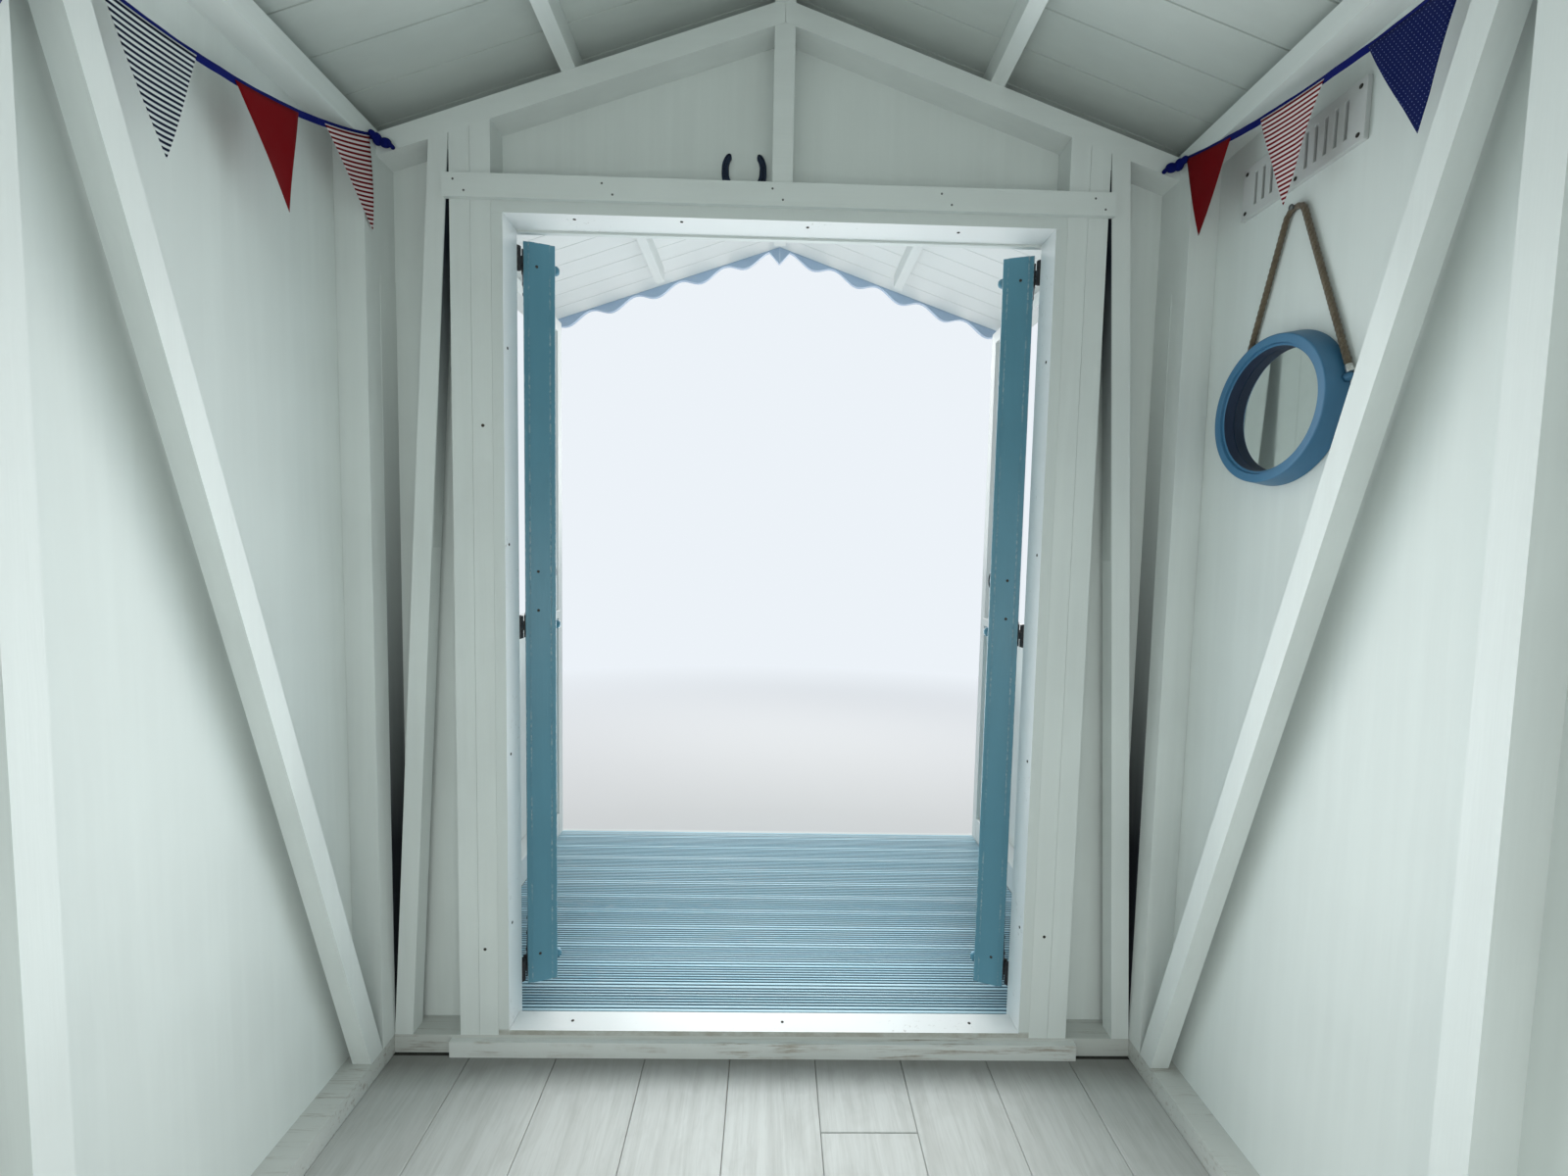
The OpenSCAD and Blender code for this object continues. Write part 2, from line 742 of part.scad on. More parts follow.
bearers();
floor_joists();
cabin_floor();
floor_planks();
porch_deck();
deck_fascia();
sole_plates();
side_studs();
front_studs();
back_studs();
top_plates();
braces();
header_rail();
gable_frames();
purlins();
left_wall();
right_wall();
back_wall();
front_wall_left();
front_wall_right();
front_gable();
corner_boards();
door_lining();
doorway_trim();
threshold_board();
jamb_hinges();
left_door_frame();
left_door_skins();
left_door_ironwork();
left_door_handle();
right_door_frame();
right_door_skins();
right_door_ironwork();
right_door_handle();
roof_boards();
roof_felt();
bargeboards();
porch_posts();
porch_sides();
vent();
mirror_rim();
mirror_glass();
mirror_rope();
horseshoe();
left_bunting();
right_bunting();
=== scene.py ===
"""A timber beach hut with open double doors and a covered porch, seen from inside its cabin."""

import math
import random

import bmesh
import bpy
from mathutils import Matrix, Vector


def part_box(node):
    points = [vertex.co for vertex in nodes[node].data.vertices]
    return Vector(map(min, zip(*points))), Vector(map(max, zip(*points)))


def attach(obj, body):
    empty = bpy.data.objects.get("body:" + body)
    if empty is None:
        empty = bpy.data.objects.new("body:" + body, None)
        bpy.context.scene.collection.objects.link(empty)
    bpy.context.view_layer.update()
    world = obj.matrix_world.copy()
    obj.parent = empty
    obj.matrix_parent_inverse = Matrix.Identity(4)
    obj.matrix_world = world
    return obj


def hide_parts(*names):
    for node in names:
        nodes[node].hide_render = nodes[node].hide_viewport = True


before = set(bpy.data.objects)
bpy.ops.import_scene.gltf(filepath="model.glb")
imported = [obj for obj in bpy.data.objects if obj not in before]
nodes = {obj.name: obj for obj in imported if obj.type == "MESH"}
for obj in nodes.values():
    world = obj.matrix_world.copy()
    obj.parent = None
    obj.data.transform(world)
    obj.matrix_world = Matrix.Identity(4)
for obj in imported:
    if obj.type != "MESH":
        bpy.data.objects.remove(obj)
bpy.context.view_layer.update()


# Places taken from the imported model, in metres

def span(node, axis):
    low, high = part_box(node)
    return low[axis], high[axis]


def middle(node, axis):
    return sum(span(node, axis)) / 2


def size(node, axis):
    low, high = span(node, axis)
    return high - low


SIDES = (("left", -1), ("right", 1))
FRONT, RAIL_IN = span("header_rail", 1)
ROOM_X = span("floor_planks", 0)[1]
BACK = span("floor_planks", 1)[1]
PLANK_Z, ROOM_Z = span("floor_planks", 2)
WALL_X, SIDE_X = span("right_wall", 0)
WALL_OUT, WALL_IN = span("front_gable", 1)
BACK_IN, BACK_OUT = span("back_wall", 1)
PORCH = span("porch_posts", 1)[0]
CLAD_Z = span("right_wall", 2)[0]
FRONT_CLAD_Z = span("front_wall_left", 2)[0]
EAVES_X = span("roof_boards", 0)[1]
ROOF_Y0, ROOF_Y1 = span("roof_boards", 1)
DECK_Z, DECK_TOP = span("porch_deck", 2)
PITCH = math.radians(19)
SLOPE = math.tan(PITCH)
COS_PITCH = math.cos(PITCH)
RIDGE_Z = span("back_wall", 2)[1]
LINING_X = span("front_wall_right", 0)[0]
WAY_X = LINING_X - 0.025
SILL_Z = span("sole_plates", 2)[1] + 0.012
ROOF_T = 0.016
DOOR_OPEN = math.radians(110)
PIN_X = 0.612
PIN_Y = WALL_OUT - 0.008
LEAF_X = 0.008
LEAF_Y = 0.012
LEAF_T = 0.071
LEAF_W = 0.5953
SKIN_T = 0.012
SKIN_INSET = 0.0018


def under_roof(x):
    """Height of the roof boards' underside at a distance from the centre line."""
    return RIDGE_Z - SLOPE * abs(x)


# Node helpers for the procedural materials

class Shader:
    """A node tree with short calls for the nodes that the materials use."""

    def __init__(self, name, colour, rough, metallic=0.0):
        self.material = bpy.data.materials.new(name)
        self.material.use_nodes = True
        self.material.diffuse_color = (*colour, 1)
        self.nodes = self.material.node_tree.nodes
        self.links = self.material.node_tree.links
        self.surface = self.nodes["Principled BSDF"]
        self.fill(self.surface, {"Base Color": colour, "Roughness": rough, "Metallic": metallic})

    def fill(self, node, values):
        """Gives slots of a node a number, a colour or another node's output."""
        for slot, value in values.items():
            if isinstance(value, (int, float)):
                node.inputs[slot].default_value = value
            elif isinstance(value, tuple):
                node.inputs[slot].default_value = (*value, 1)
            else:
                self.links.new(value, node.inputs[slot])

    def node(self, kind, values=None, **settings):
        made = self.nodes.new("ShaderNode" + kind)
        for setting, value in settings.items():
            setattr(made, setting, value)
        self.fill(made, values or {})
        return made

    def coords(self, scale=(1, 1, 1), output="Object"):
        mapping = self.node("Mapping", {"Vector": self.node("TexCoord").outputs[output]})
        mapping.inputs["Scale"].default_value = scale
        return mapping.outputs["Vector"]

    def split(self, vector, axis):
        return self.node("SeparateXYZ", {0: vector}).outputs[axis]

    def axis(self, axis):
        """One coordinate of the place on the object: X, Y or Z."""
        return self.split(self.coords(), axis)

    def island(self):
        """A number from 0 to 1 for each separate board of a piece."""
        return self.node("NewGeometry").outputs["Random Per Island"]

    def noise(self, vector, scale, detail, rough, distortion=0.0):
        values = {"Vector": vector, "Scale": scale, "Detail": detail, "Roughness": rough}
        return self.node("TexNoise", {**values, "Distortion": distortion}).outputs["Fac"]

    def remap(self, value, low, high, to_low=0.0, to_high=1.0):
        return self.node("MapRange", {0: value, 1: low, 2: high, 3: to_low, 4: to_high}).outputs[0]

    def math(self, kind, *values):
        return self.node("Math", dict(enumerate(values)), operation=kind).outputs[0]

    def times(self, product, *others):
        for other in others:
            product = self.math("MULTIPLY", product, other)
        return product

    def mix(self, factor, a, b):
        return self.node("Mix", {0: factor, 6: a, 7: b}, data_type="RGBA").outputs[2]

    def edges(self, radius):
        """About 0 on flat faces and more near an edge within the radius."""
        bevel = self.node("Bevel", {"Radius": radius}, samples=3).outputs["Normal"]
        face = self.node("NewGeometry").outputs["Normal"]
        dot = self.node("VectorMath", {0: bevel, 1: face}, operation="DOT_PRODUCT")
        return self.remap(dot.outputs["Value"], 1.0, 0.8)

    def finish(self, tint, height=None, distance=0.0, strength=1.0, rough=None):
        """Links the colour, the bump and the roughness, and gives back the finished material."""
        self.fill(self.surface, {"Base Color": tint})
        if height is not None:
            bump = self.node("Bump", {"Height": height, "Distance": distance, "Strength": strength})
            self.fill(self.surface, {"Normal": bump.outputs["Normal"]})
        if rough is not None:
            self.fill(self.surface, {"Roughness": rough})
        return self.material


def shade(colour, factor, plus=0.0):
    return tuple(min(1.0, c * factor + plus) for c in colour)


# Materials

ALONG = {"X": (0.05, 1, 1), "Y": (1, 0.05, 1), "Z": (1, 1, 0.05)}
PRIMED = (0.50, 0.45, 0.38)
RUST = (0.16, 0.09, 0.055)


def painted(name, colour, grain="Z", rough=0.42, worn=0.0, bare=PRIMED, brush=1.0, wear=0.0, porch=None):
    """Brushed paint on planed softwood. worn chips it near edges, wear rubs patches of it thin, and porch is
    a lighter colour in front of the cabin, painted light on the porch's ceiling."""
    s = Shader(name, colour, rough)
    along = s.coords(ALONG[grain])
    strokes = s.noise(along, 260, 1, 0.6)
    figure = s.noise(along, 38, 3, 0.6)
    clouds = s.noise(s.coords(), 2.6, 2, 0.55)
    tint = s.mix(s.remap(clouds, 0.35, 0.68), shade(colour, 0.93), colour)
    tint = s.mix(s.remap(figure, 0.42, 0.75, 0.0, 0.35), tint, shade(colour, 1.05, 0.01))
    height = s.math("ADD", s.times(strokes, 0.5), figure)
    if wear:
        specks = s.remap(s.noise(along, 90, 6, 0.75, 0.4), 0.62 - 0.12 * wear, 0.70 - 0.10 * wear)
        patches = s.remap(s.noise(s.coords(), 7, 4, 0.6), 0.50 - 0.1 * wear, 0.62)
        tint = s.mix(s.times(specks, patches, 0.85), tint, bare)
    if worn:
        chips = s.remap(s.noise(s.coords(), 120, 6, 0.7), 0.45, 0.6)
        patches = s.remap(s.noise(s.coords(), 9, 3, 0.6), 0.62 - 0.35 * worn, 0.75 - 0.3 * worn)
        edge = s.times(s.edges(0.004), chips, patches)
        tint = s.mix(edge, tint, bare)
        height = s.math("SUBTRACT", height, s.times(edge, 2.0))
    if porch:
        # Painted light: the lighter porch colour where the boards reach out over the porch
        tint = s.mix(s.remap(s.axis("Y"), WALL_OUT, WALL_OUT - 0.01), tint, porch)
    gloss = s.remap(clouds, 0.3, 0.7, rough - 0.07, rough + 0.1)
    return s.finish(tint, height, 0.0004 * brush, 0.55, gloss)


def lit_lining_gloss(name, colour, room_side_shade, dirt):
    """White gloss brightened on the reveals as painted light, with painted shade on the faces towards the
    room, and darker in blotches along the sill's front.
    """
    s = Shader(name, colour, 0.3)
    specks = s.remap(s.noise(s.coords(), 70, 4, 0.75), 0.60, 0.70)
    patches = s.remap(s.noise(s.coords(), 7, 2, 0.6), 0.50, 0.66)
    tint = s.mix(s.times(specks, patches, 0.7), colour, dirt)
    # Painted shade: faces that look towards the room take the darker second colour
    to_room = s.remap(s.split(s.node("NewGeometry").outputs["Normal"], "Y"), 0.5, 0.8)
    tint = s.mix(to_room, tint, room_side_shade)
    low = s.remap(s.axis("Z"), SILL_Z + 0.004, SILL_Z - 0.001)
    stains = s.remap(s.noise(s.coords((1, 1, 2)), 24, 6, 0.7), 0.35, 0.65, 0.45, 1.0)
    tint = s.mix(s.times(low, to_room, stains), tint, dirt)
    return s.finish(tint, s.noise(s.coords(ALONG["Z"]), 260, 1, 0.6), 0.0003, 0.5)


def painted_gap_shade(name, dark, paint, z_dark, z_paint):
    """Painted shade in a narrow gap: a near black colour that fades into the wall's paint where the gap
    opens.
    """
    s = Shader(name, dark, 0.8)
    grain = s.noise(s.coords(ALONG["Z"]), 60, 5, 0.6)
    height = s.math("ADD", s.axis("Z"), s.times(s.math("SUBTRACT", grain, 0.5), 0.10))
    return s.finish(s.mix(s.remap(height, z_dark, z_paint), dark, paint), grain, 0.0004, 0.5)


def chipped_edge(name, colour, bare, more=0.0):
    """Paint on an arris, rubbed through in places, and in more of them where more is high."""
    s = Shader(name, colour, 0.5)
    chips = s.remap(s.noise(s.coords(), 70, 4, 0.75), 0.50 - more, 0.60 - more)
    patches = s.remap(s.noise(s.coords(), 6, 2, 0.6), 0.45 - more, 0.62 - more)
    return s.finish(s.mix(s.times(chips, patches, 0.8), colour, bare), chips, 0.0004, 0.5)


def sawn_timber(name, light, dark, grain="X"):
    """Bare weathered timber with long grain."""
    s = Shader(name, light, 0.85)
    figure = s.noise(s.coords(ALONG[grain]), 60, 6, 0.65, 0.8)
    fine = s.noise(s.coords(ALONG[grain]), 320, 3, 0.6)
    clouds = s.noise(s.coords(), 4, 4, 0.6)
    tint = s.mix(s.remap(figure, 0.3, 0.72), light, dark)
    tint = s.mix(s.remap(clouds, 0.35, 0.75, 0.0, 0.45), tint, shade(dark, 0.7))
    return s.finish(tint, s.math("ADD", figure, s.times(fine, 0.4)), 0.0009, 0.7)


def worn_deck(name, colour, pale, dark):
    """Blue paint on grooved deck boards, rubbed pale on the ribs, with painted shade in the grooves."""
    s = Shader(name, colour, 0.42)
    streaks = s.noise(s.coords((0.0008, 1, 1)), 230, 2, 0.6)
    patches = s.noise(s.coords((0.6, 1, 1)), 5, 3, 0.6)
    scuffs = s.noise(s.coords((0.12, 1, 1)), 150, 4, 0.6)
    tint = s.mix(s.remap(s.island(), 0, 1, 0.0, 0.4), colour, shade(colour, 0.80))
    tint = s.mix(s.times(s.remap(streaks, 0.40, 0.66), 0.45), tint, pale)
    rubbed = s.times(s.remap(scuffs, 0.52, 0.66), s.remap(patches, 0.46, 0.62), 0.5)
    tint = s.mix(rubbed, tint, pale)
    # Painted shade: the grooves' sides and bottoms take the near black blue
    sunk = s.remap(s.axis("Z"), DECK_TOP - 0.0026, DECK_TOP - 0.0005, 0.95, 0.0)
    return s.finish(s.mix(sunk, tint, dark), streaks, 0.0002, 0.4, s.remap(patches, 0.3, 0.7, 0.34, 0.55))


def limed_planks(name, light, dark):
    """Pale limed planks with fine grain, each a little different, and darkened by a painted shadow along the
    front wall.
    """
    s = Shader(name, light, 0.5)
    s.fill(s.surface, {"Specular IOR Level": 0.3})
    island = s.island()
    shift = s.node("CombineXYZ", {0: s.times(island, 37.0), 1: s.times(island, 11.0)}).outputs[0]
    grain = s.node("VectorMath", {0: s.coords((1, 0.06, 1)), 1: shift}, operation="ADD").outputs[0]
    figure = s.noise(grain, 22, 4, 0.62, 2.6)
    fine = s.noise(grain, 240, 2, 0.6)
    blots = s.noise(s.coords((1, 0.5, 1)), 13, 3, 0.65, 0.8)
    tint = s.mix(s.remap(figure, 0.40, 0.68, 0.0, 0.38), light, dark)
    tint = s.mix(s.remap(blots, 0.46, 0.70, 0.0, 0.30), tint, dark)
    tint = s.mix(s.remap(fine, 0.5, 0.75, 0.0, 0.20), tint, shade(dark, 0.8))
    tint = s.mix(s.remap(island, 0, 1, 0.0, 0.22), tint, shade(light, 0.86))
    # Painted shadow of the threshold and the front wall on the planks, with a blotchy edge
    shadow_by_wall = s.math("ADD", s.axis("Y"), s.times(s.math("SUBTRACT", blots, 0.5), 0.06))
    tint = s.mix(s.remap(shadow_by_wall, FRONT + 0.11, FRONT + 0.035, 0.0, 0.75), tint, shade(dark, 0.55))
    gloss = s.remap(figure, 0.3, 0.7, 0.50, 0.66)
    return s.finish(tint, s.math("ADD", figure, s.times(fine, 0.5)), 0.0004, 0.5, gloss)


def cast_iron(name, colour, rough=0.48):
    """Black japanned iron with a fine hammered skin and specks of rust."""
    s = Shader(name, colour, rough, metallic=0.6)
    clouds = s.noise(s.coords(), 30, 4, 0.6)
    rust = s.remap(s.noise(s.coords(), 75, 6, 0.7), 0.60, 0.72, 0.0, 0.55)
    tint = s.mix(s.remap(clouds, 0.4, 0.7), colour, shade(colour, 1.6, 0.01))
    gloss = s.remap(clouds, 0.3, 0.7, rough - 0.1, rough + 0.15)
    return s.finish(s.mix(rust, tint, RUST), s.noise(s.coords(), 420, 3, 0.5), 0.0003, 0.6, gloss)


def steel(name, colour, rough):
    s = Shader(name, colour, rough, metallic=1.0)
    clouds = s.noise(s.coords(), 90, 4, 0.6)
    gloss = s.remap(clouds, 0.3, 0.7, rough - 0.1, rough + 0.15)
    return s.finish(s.mix(s.remap(clouds, 0.4, 0.7), colour, shade(colour, 0.7)), clouds, 0.0002, 0.4, gloss)


def mineral_felt(name, light, dark):
    """Roofing felt with mineral granules."""
    s = Shader(name, light, 0.92)
    grains = s.noise(s.coords(), 900, 2, 0.5)
    clouds = s.noise(s.coords(), 3, 5, 0.6)
    tint = s.mix(s.remap(grains, 0.4, 0.62), dark, light)
    tint = s.mix(s.remap(clouds, 0.42, 0.72, 0.0, 0.5), tint, shade(light, 0.72))
    return s.finish(tint, grains, 0.0008, 0.8)


def moulded(name, colour):
    s = Shader(name, colour, 0.45)
    clouds = s.noise(s.coords(), 12, 3, 0.5)
    tint = s.mix(s.remap(clouds, 0.35, 0.7), shade(colour, 0.93), colour)
    return s.finish(tint, s.noise(s.coords(), 700, 2, 0.5), 0.0001, 0.4)


def jute(name, light, dark):
    """Twisted jute with fine stray fibres."""
    s = Shader(name, light, 0.95)
    s.fill(s.surface, {"Sheen Weight": 0.3})
    fibres = s.noise(s.coords((1, 1, 0.35)), 900, 5, 0.7)
    clouds = s.noise(s.coords(), 60, 4, 0.6)
    tint = s.mix(s.remap(fibres, 0.35, 0.65), dark, light)
    tint = s.mix(s.remap(clouds, 0.4, 0.7, 0.0, 0.4), tint, shade(dark, 0.6))
    return s.finish(tint, fibres, 0.0009, 0.9)


def cotton(name, colour, second=None, pattern=None, count=21):
    """Woven cotton, plain or printed with stripes or dots, placed by the flag's own map."""
    s = Shader(name, colour, 0.85)
    s.fill(s.surface, {"Sheen Weight": 0.02, "Specular IOR Level": 0.04})
    place = s.coords((1, 1, 1), "UV")
    across, down = s.split(place, "X"), s.split(place, "Y")
    tint = colour
    if pattern == "stripes":
        wave = s.math("FRACT", s.times(down, count))
        tint = s.mix(s.remap(s.math("ABSOLUTE", s.math("SUBTRACT", wave, 0.5)), 0.22, 0.28), colour, second)
    if pattern == "dots":
        shift = s.times(s.math("FLOOR", s.times(down, count)), 0.5)
        column = s.math("FRACT", s.math("ADD", s.times(across, count * 0.8), shift))
        x = s.math("SUBTRACT", column, 0.5)
        y = s.math("SUBTRACT", s.math("FRACT", s.times(down, count)), 0.5)
        radius = s.math("SQRT", s.math("ADD", s.times(x, x), s.times(y, y)))
        tint = s.mix(s.remap(radius, 0.11, 0.15), second, colour)
    weave = s.times(s.math("SINE", s.times(across, 900.0)), s.math("SINE", s.times(down, 1100.0)))
    clouds = s.noise(s.coords(), 20, 4, 0.6)
    faded = s.mix(s.remap(clouds, 0.4, 0.75, 0.0, 0.012), tint, (0.55, 0.5, 0.48))
    return s.finish(s.mix(s.remap(weave, -1, 1, 0.0, 0.22), faded, (0.004, 0.004, 0.006)), weave, 0.0002, 0.5)


def mirror_silver(name, bright, hazy):
    s = Shader(name, bright, 0.03, metallic=1.0)
    haze = s.noise(s.coords(), 26, 5, 0.6)
    tint = s.mix(s.remap(haze, 0.5, 0.8, 0.0, 0.3), bright, hazy)
    return s.finish(tint, rough=s.remap(haze, 0.35, 0.75, 0.02, 0.09))


WHITE = (0.74, 0.78, 0.765)
white_x = painted("white paint, grain across", WHITE, "X")
white_y = painted("white paint, grain along", WHITE, "Y")
white_z = painted("white paint, upright grain", WHITE, "Z")
white_edge = chipped_edge("white paint, rubbed edge", (0.77, 0.81, 0.795), (0.48, 0.45, 0.39))
# The lining is whiter than the other white paint as painted light on the reveals, and darker on its faces
# towards the room as painted shade
lit_and_shaded_lining = lit_lining_gloss("white gloss with painted light and shade", (0.86, 0.88, 0.875), (0.68, 0.72, 0.705),
                            (0.40, 0.385, 0.34))
wall_paint = painted("white wall paint", (0.74, 0.785, 0.765), "Z", rough=0.5, brush=0.6)
# The roof's white is darker than the walls' in the cabin, partly its grey-green colour and partly painted
# shade, and lighter over the porch as painted light
shaded_roof_paint = painted("white roof paint, painted shade in the cabin", (0.57, 0.615, 0.59), "X", rough=0.5, porch=(0.80, 0.83, 0.82))
worn_white = painted("worn white paint", (0.73, 0.755, 0.74), "X", wear=0.9, bare=(0.36, 0.31, 0.25))
sole_paint = painted("scuffed white paint", (0.58, 0.60, 0.575), "X", wear=0.7, bare=(0.30, 0.27, 0.23))
teal = painted("teal gloss paint", (0.095, 0.27, 0.365), "Z", rough=0.36, worn=0.6, bare=(0.62, 0.66, 0.66))
teal_edge = chipped_edge("teal paint, chipped edge", (0.11, 0.29, 0.38), (0.74, 0.77, 0.74), 0.05)
barge_blue = painted("pale blue paint", (0.47, 0.60, 0.78), "X", wear=0.1, bare=(0.6, 0.58, 0.52))
rim_blue = painted("blue turned wood", (0.045, 0.165, 0.30), "Z", rough=0.42, brush=0.6)
rim_inside_shade = painted("navy inside of the rim with painted shade", (0.004, 0.016, 0.050), "Z", rough=0.7, brush=0.5)
deck_blue = worn_deck("worn blue deck paint with painted shade in the grooves", (0.50, 0.79, 0.91), (0.88, 0.96, 0.99), (0.016, 0.075, 0.13))
planks = limed_planks("limed plank floor", (0.50, 0.515, 0.50), (0.31, 0.31, 0.29))
base_timber = sawn_timber("weathered base timber", (0.34, 0.29, 0.23), (0.19, 0.16, 0.13), "Y")
bearer_timber = sawn_timber("weathered bearer timber", (0.33, 0.28, 0.22), (0.17, 0.14, 0.11))
floor_timber = sawn_timber("sawn floor boards", (0.62, 0.47, 0.31), (0.46, 0.33, 0.21))
joint_dirt = sawn_timber("dirt in the floor joint", (0.035, 0.035, 0.028), (0.012, 0.012, 0.010))
iron = cast_iron("black japanned iron", (0.025, 0.025, 0.028))
shoe_iron = cast_iron("painted horseshoe iron", (0.012, 0.020, 0.045), 0.4)
rusty = cast_iron("rusty screws", (0.05, 0.045, 0.04), 0.7)
zinc_dull = steel("dull galvanised nails", (0.20, 0.21, 0.21), 0.6)
ferrule_steel = steel("bright ferrule", (0.72, 0.71, 0.68), 0.25)
felt = mineral_felt("green mineral felt", (0.13, 0.17, 0.145), (0.06, 0.08, 0.07))
vent_plastic = moulded("white moulded vent", (0.60, 0.615, 0.61))
vent_slot_shade = moulded("painted shade behind the vent slots", (0.10, 0.10, 0.10))
rope_jute = jute("twisted jute", (0.20, 0.155, 0.10), (0.075, 0.055, 0.035))
silver = mirror_silver("silvered mirror", (0.80, 0.85, 0.84), (0.66, 0.72, 0.71))
tape_cotton = cotton("navy tape", (0.005, 0.010, 0.13))
FLAGS = {
    "red_stripes": cotton("red striped cotton", (0.20, 0.004, 0.010), (0.84, 0.76, 0.77), "stripes"),
    "red": cotton("red cotton", (0.20, 0.003, 0.006)),
    "navy_stripes": cotton("navy striped cotton", (0.008, 0.012, 0.035), (0.72, 0.76, 0.76), "stripes"),
    "dots": cotton("blue dotted cotton", (0.006, 0.012, 0.085), (0.14, 0.18, 0.36), "dots", 30),
}


# Mesh helpers

BOX_FACES = [(0, 1, 3, 2), (4, 6, 7, 5), (0, 4, 5, 1), (2, 3, 7, 6), (0, 2, 6, 4), (1, 5, 7, 3)]
AXIS_R = 0.0001


def across(sign, near, far):
    """The two x values of a box on one side of the hut, in rising order."""
    return sorted((sign * near, sign * far))


def rectangle(u0, u1, v0, v1):
    return [(u0, v0), (u1, v0), (u1, v1), (u0, v1)]


def arc(radius, first, last, step):
    """Points on an arc about (0, 0), at whole degrees."""
    turns = [math.radians(degrees) for degrees in range(first, last, step)]
    return [(radius * math.cos(a), radius * math.sin(a)) for a in turns]


class Build:
    """Gathers the vertices and faces of one piece."""

    def __init__(self):
        self.verts = []
        self.faces = []

    def add(self, verts, faces):
        base = len(self.verts)
        self.verts += [Vector(v) for v in verts]
        self.faces += [tuple(base + i for i in face) for face in faces]
        return base

    def box(self, x0, x1, y0, y1, z0, z1):
        self.add([(x, y, z) for x in (x0, x1) for y in (y0, y1) for z in (z0, z1)], BOX_FACES)

    def prism(self, outline, place, near, far):
        """An outline given thickness: place(u, v, depth) says where its points go."""
        n = len(outline)
        verts = [place(u, v, near) for u, v in outline] + [place(u, v, far) for u, v in outline]
        faces = [tuple(range(n)), tuple(range(2 * n - 1, n - 1, -1))]
        faces += [(i, n + i, n + (i + 1) % n, (i + 1) % n) for i in range(n)]
        self.add(verts, faces)

    def lathe(self, profile, place, steps=24, closed=False):
        """A profile of (radius, height) turned about an axis: place(x, y, height) says where points go."""
        rows = [[place(r * math.cos(a), r * math.sin(a), h) for r, h in profile]
                for a in (2 * math.pi * i / steps for i in range(steps))]
        count = len(profile)
        base = self.add([v for row in rows for v in row], [])
        for i in range(steps):
            j = (i + 1) % steps
            for k in range(count if closed else count - 1):
                m = (k + 1) % count
                self.faces.append((base + i * count + k, base + j * count + k,
                                   base + j * count + m, base + i * count + m))
        if not closed:
            for k in (0, count - 1):
                if profile[k][0] > 1e-6:
                    ring = [base + i * count + k for i in range(steps)]
                    self.faces.append(tuple(ring if k else reversed(ring)))

    def grooved(self, rows, place):
        """A panel with one shaped face. rows are (distance across, depth); place(s, depth, end) gives a
        point, with end 0 or 1, and depth 0 is the flat back."""
        base = len(self.verts)
        for s, depth in rows:
            corners = ((depth, 0), (depth, 1), (0.0, 1), (0.0, 0))
            self.verts += [Vector(place(s, d, end)) for d, end in corners]
        for i in range(len(rows) - 1):
            a = base + 4 * i
            for k in range(4):
                m = (k + 1) % 4
                self.faces.append((a + k, a + 4 + k, a + 4 + m, a + m))
        last = base + 4 * (len(rows) - 1)
        self.faces.append(tuple(base + k for k in range(4)))
        self.faces.append(tuple(last + k for k in (3, 2, 1, 0)))

    def loft(self, rings):
        """Joins rings of equally many points into a skin with flat ends."""
        count = len(rings[0])
        base = self.add([point for ring in rings for point in ring], [])
        for i in range(len(rings) - 1):
            a = base + i * count
            for k in range(count):
                m = (k + 1) % count
                self.faces.append((a + k, a + m, a + count + m, a + count + k))
        last = base + (len(rings) - 1) * count
        self.faces.append(tuple(base + k for k in reversed(range(count))))
        self.faces.append(tuple(last + k for k in range(count)))

    def tube(self, path, radius, sides=12, swell=None):
        """A tube along a path, round unless swell(turn, run) scales its radius."""
        rings = []
        run = 0.0
        previous = Vector(path[0])
        for centre, side, up in frames_along(path):
            run += (centre - previous).length
            previous = centre
            ring = []
            for a in (2 * math.pi * k / sides for k in range(sides)):
                r = radius * swell(a, run) if swell else radius
                ring.append(centre + r * (math.cos(a) * side + math.sin(a) * up))
            rings.append(ring)
        self.loft(rings)

    def piece(self, name, material, slot, move=None, **finish):
        mesh = bpy.data.meshes.new(name)
        verts = [move @ v for v in self.verts] if move else self.verts
        mesh.from_pydata([tuple(v) for v in verts], [], self.faces)
        mesh.validate()
        return finish_piece(mesh, name, material, slot, **finish)


def turned(name, material, slot, profile, place):
    """One small turned piece."""
    build = Build()
    build.lathe(profile, place)
    return build.piece(name, material, slot, smooth=True)


def frames_along(path):
    """A centre, a side and an up vector at each point of a path, without twist."""
    points = [Vector(p) for p in path]
    rings = []
    side = None
    for i, centre in enumerate(points):
        ahead = (points[min(i + 1, len(points) - 1)] - points[max(i - 1, 0)]).normalized()
        if side is None:
            side = ahead.orthogonal().normalized()
        side = (side - ahead * side.dot(ahead)).normalized()
        rings.append((centre, side, ahead.cross(side)))
    return rings


def finish_piece(mesh, name, material, slot, body="root", replaces=(), bevel=0.0, smooth=False):
    """Makes a mesh an object with its material and its body, and hides the nodes it stands for. The slot is
    not used.
    """
    work = bmesh.new()
    work.from_mesh(mesh)
    bmesh.ops.recalc_face_normals(work, faces=work.faces)
    work.to_mesh(mesh)
    work.free()
    piece = bpy.data.objects.new(name, mesh)
    bpy.context.scene.collection.objects.link(piece)
    mesh.materials.append(material)
    if smooth:
        for face in mesh.polygons:
            face.use_smooth = True
    if bevel:
        round_edges(piece, bevel)
    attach(piece, body)
    if replaces:
        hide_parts(*replaces)
    return piece


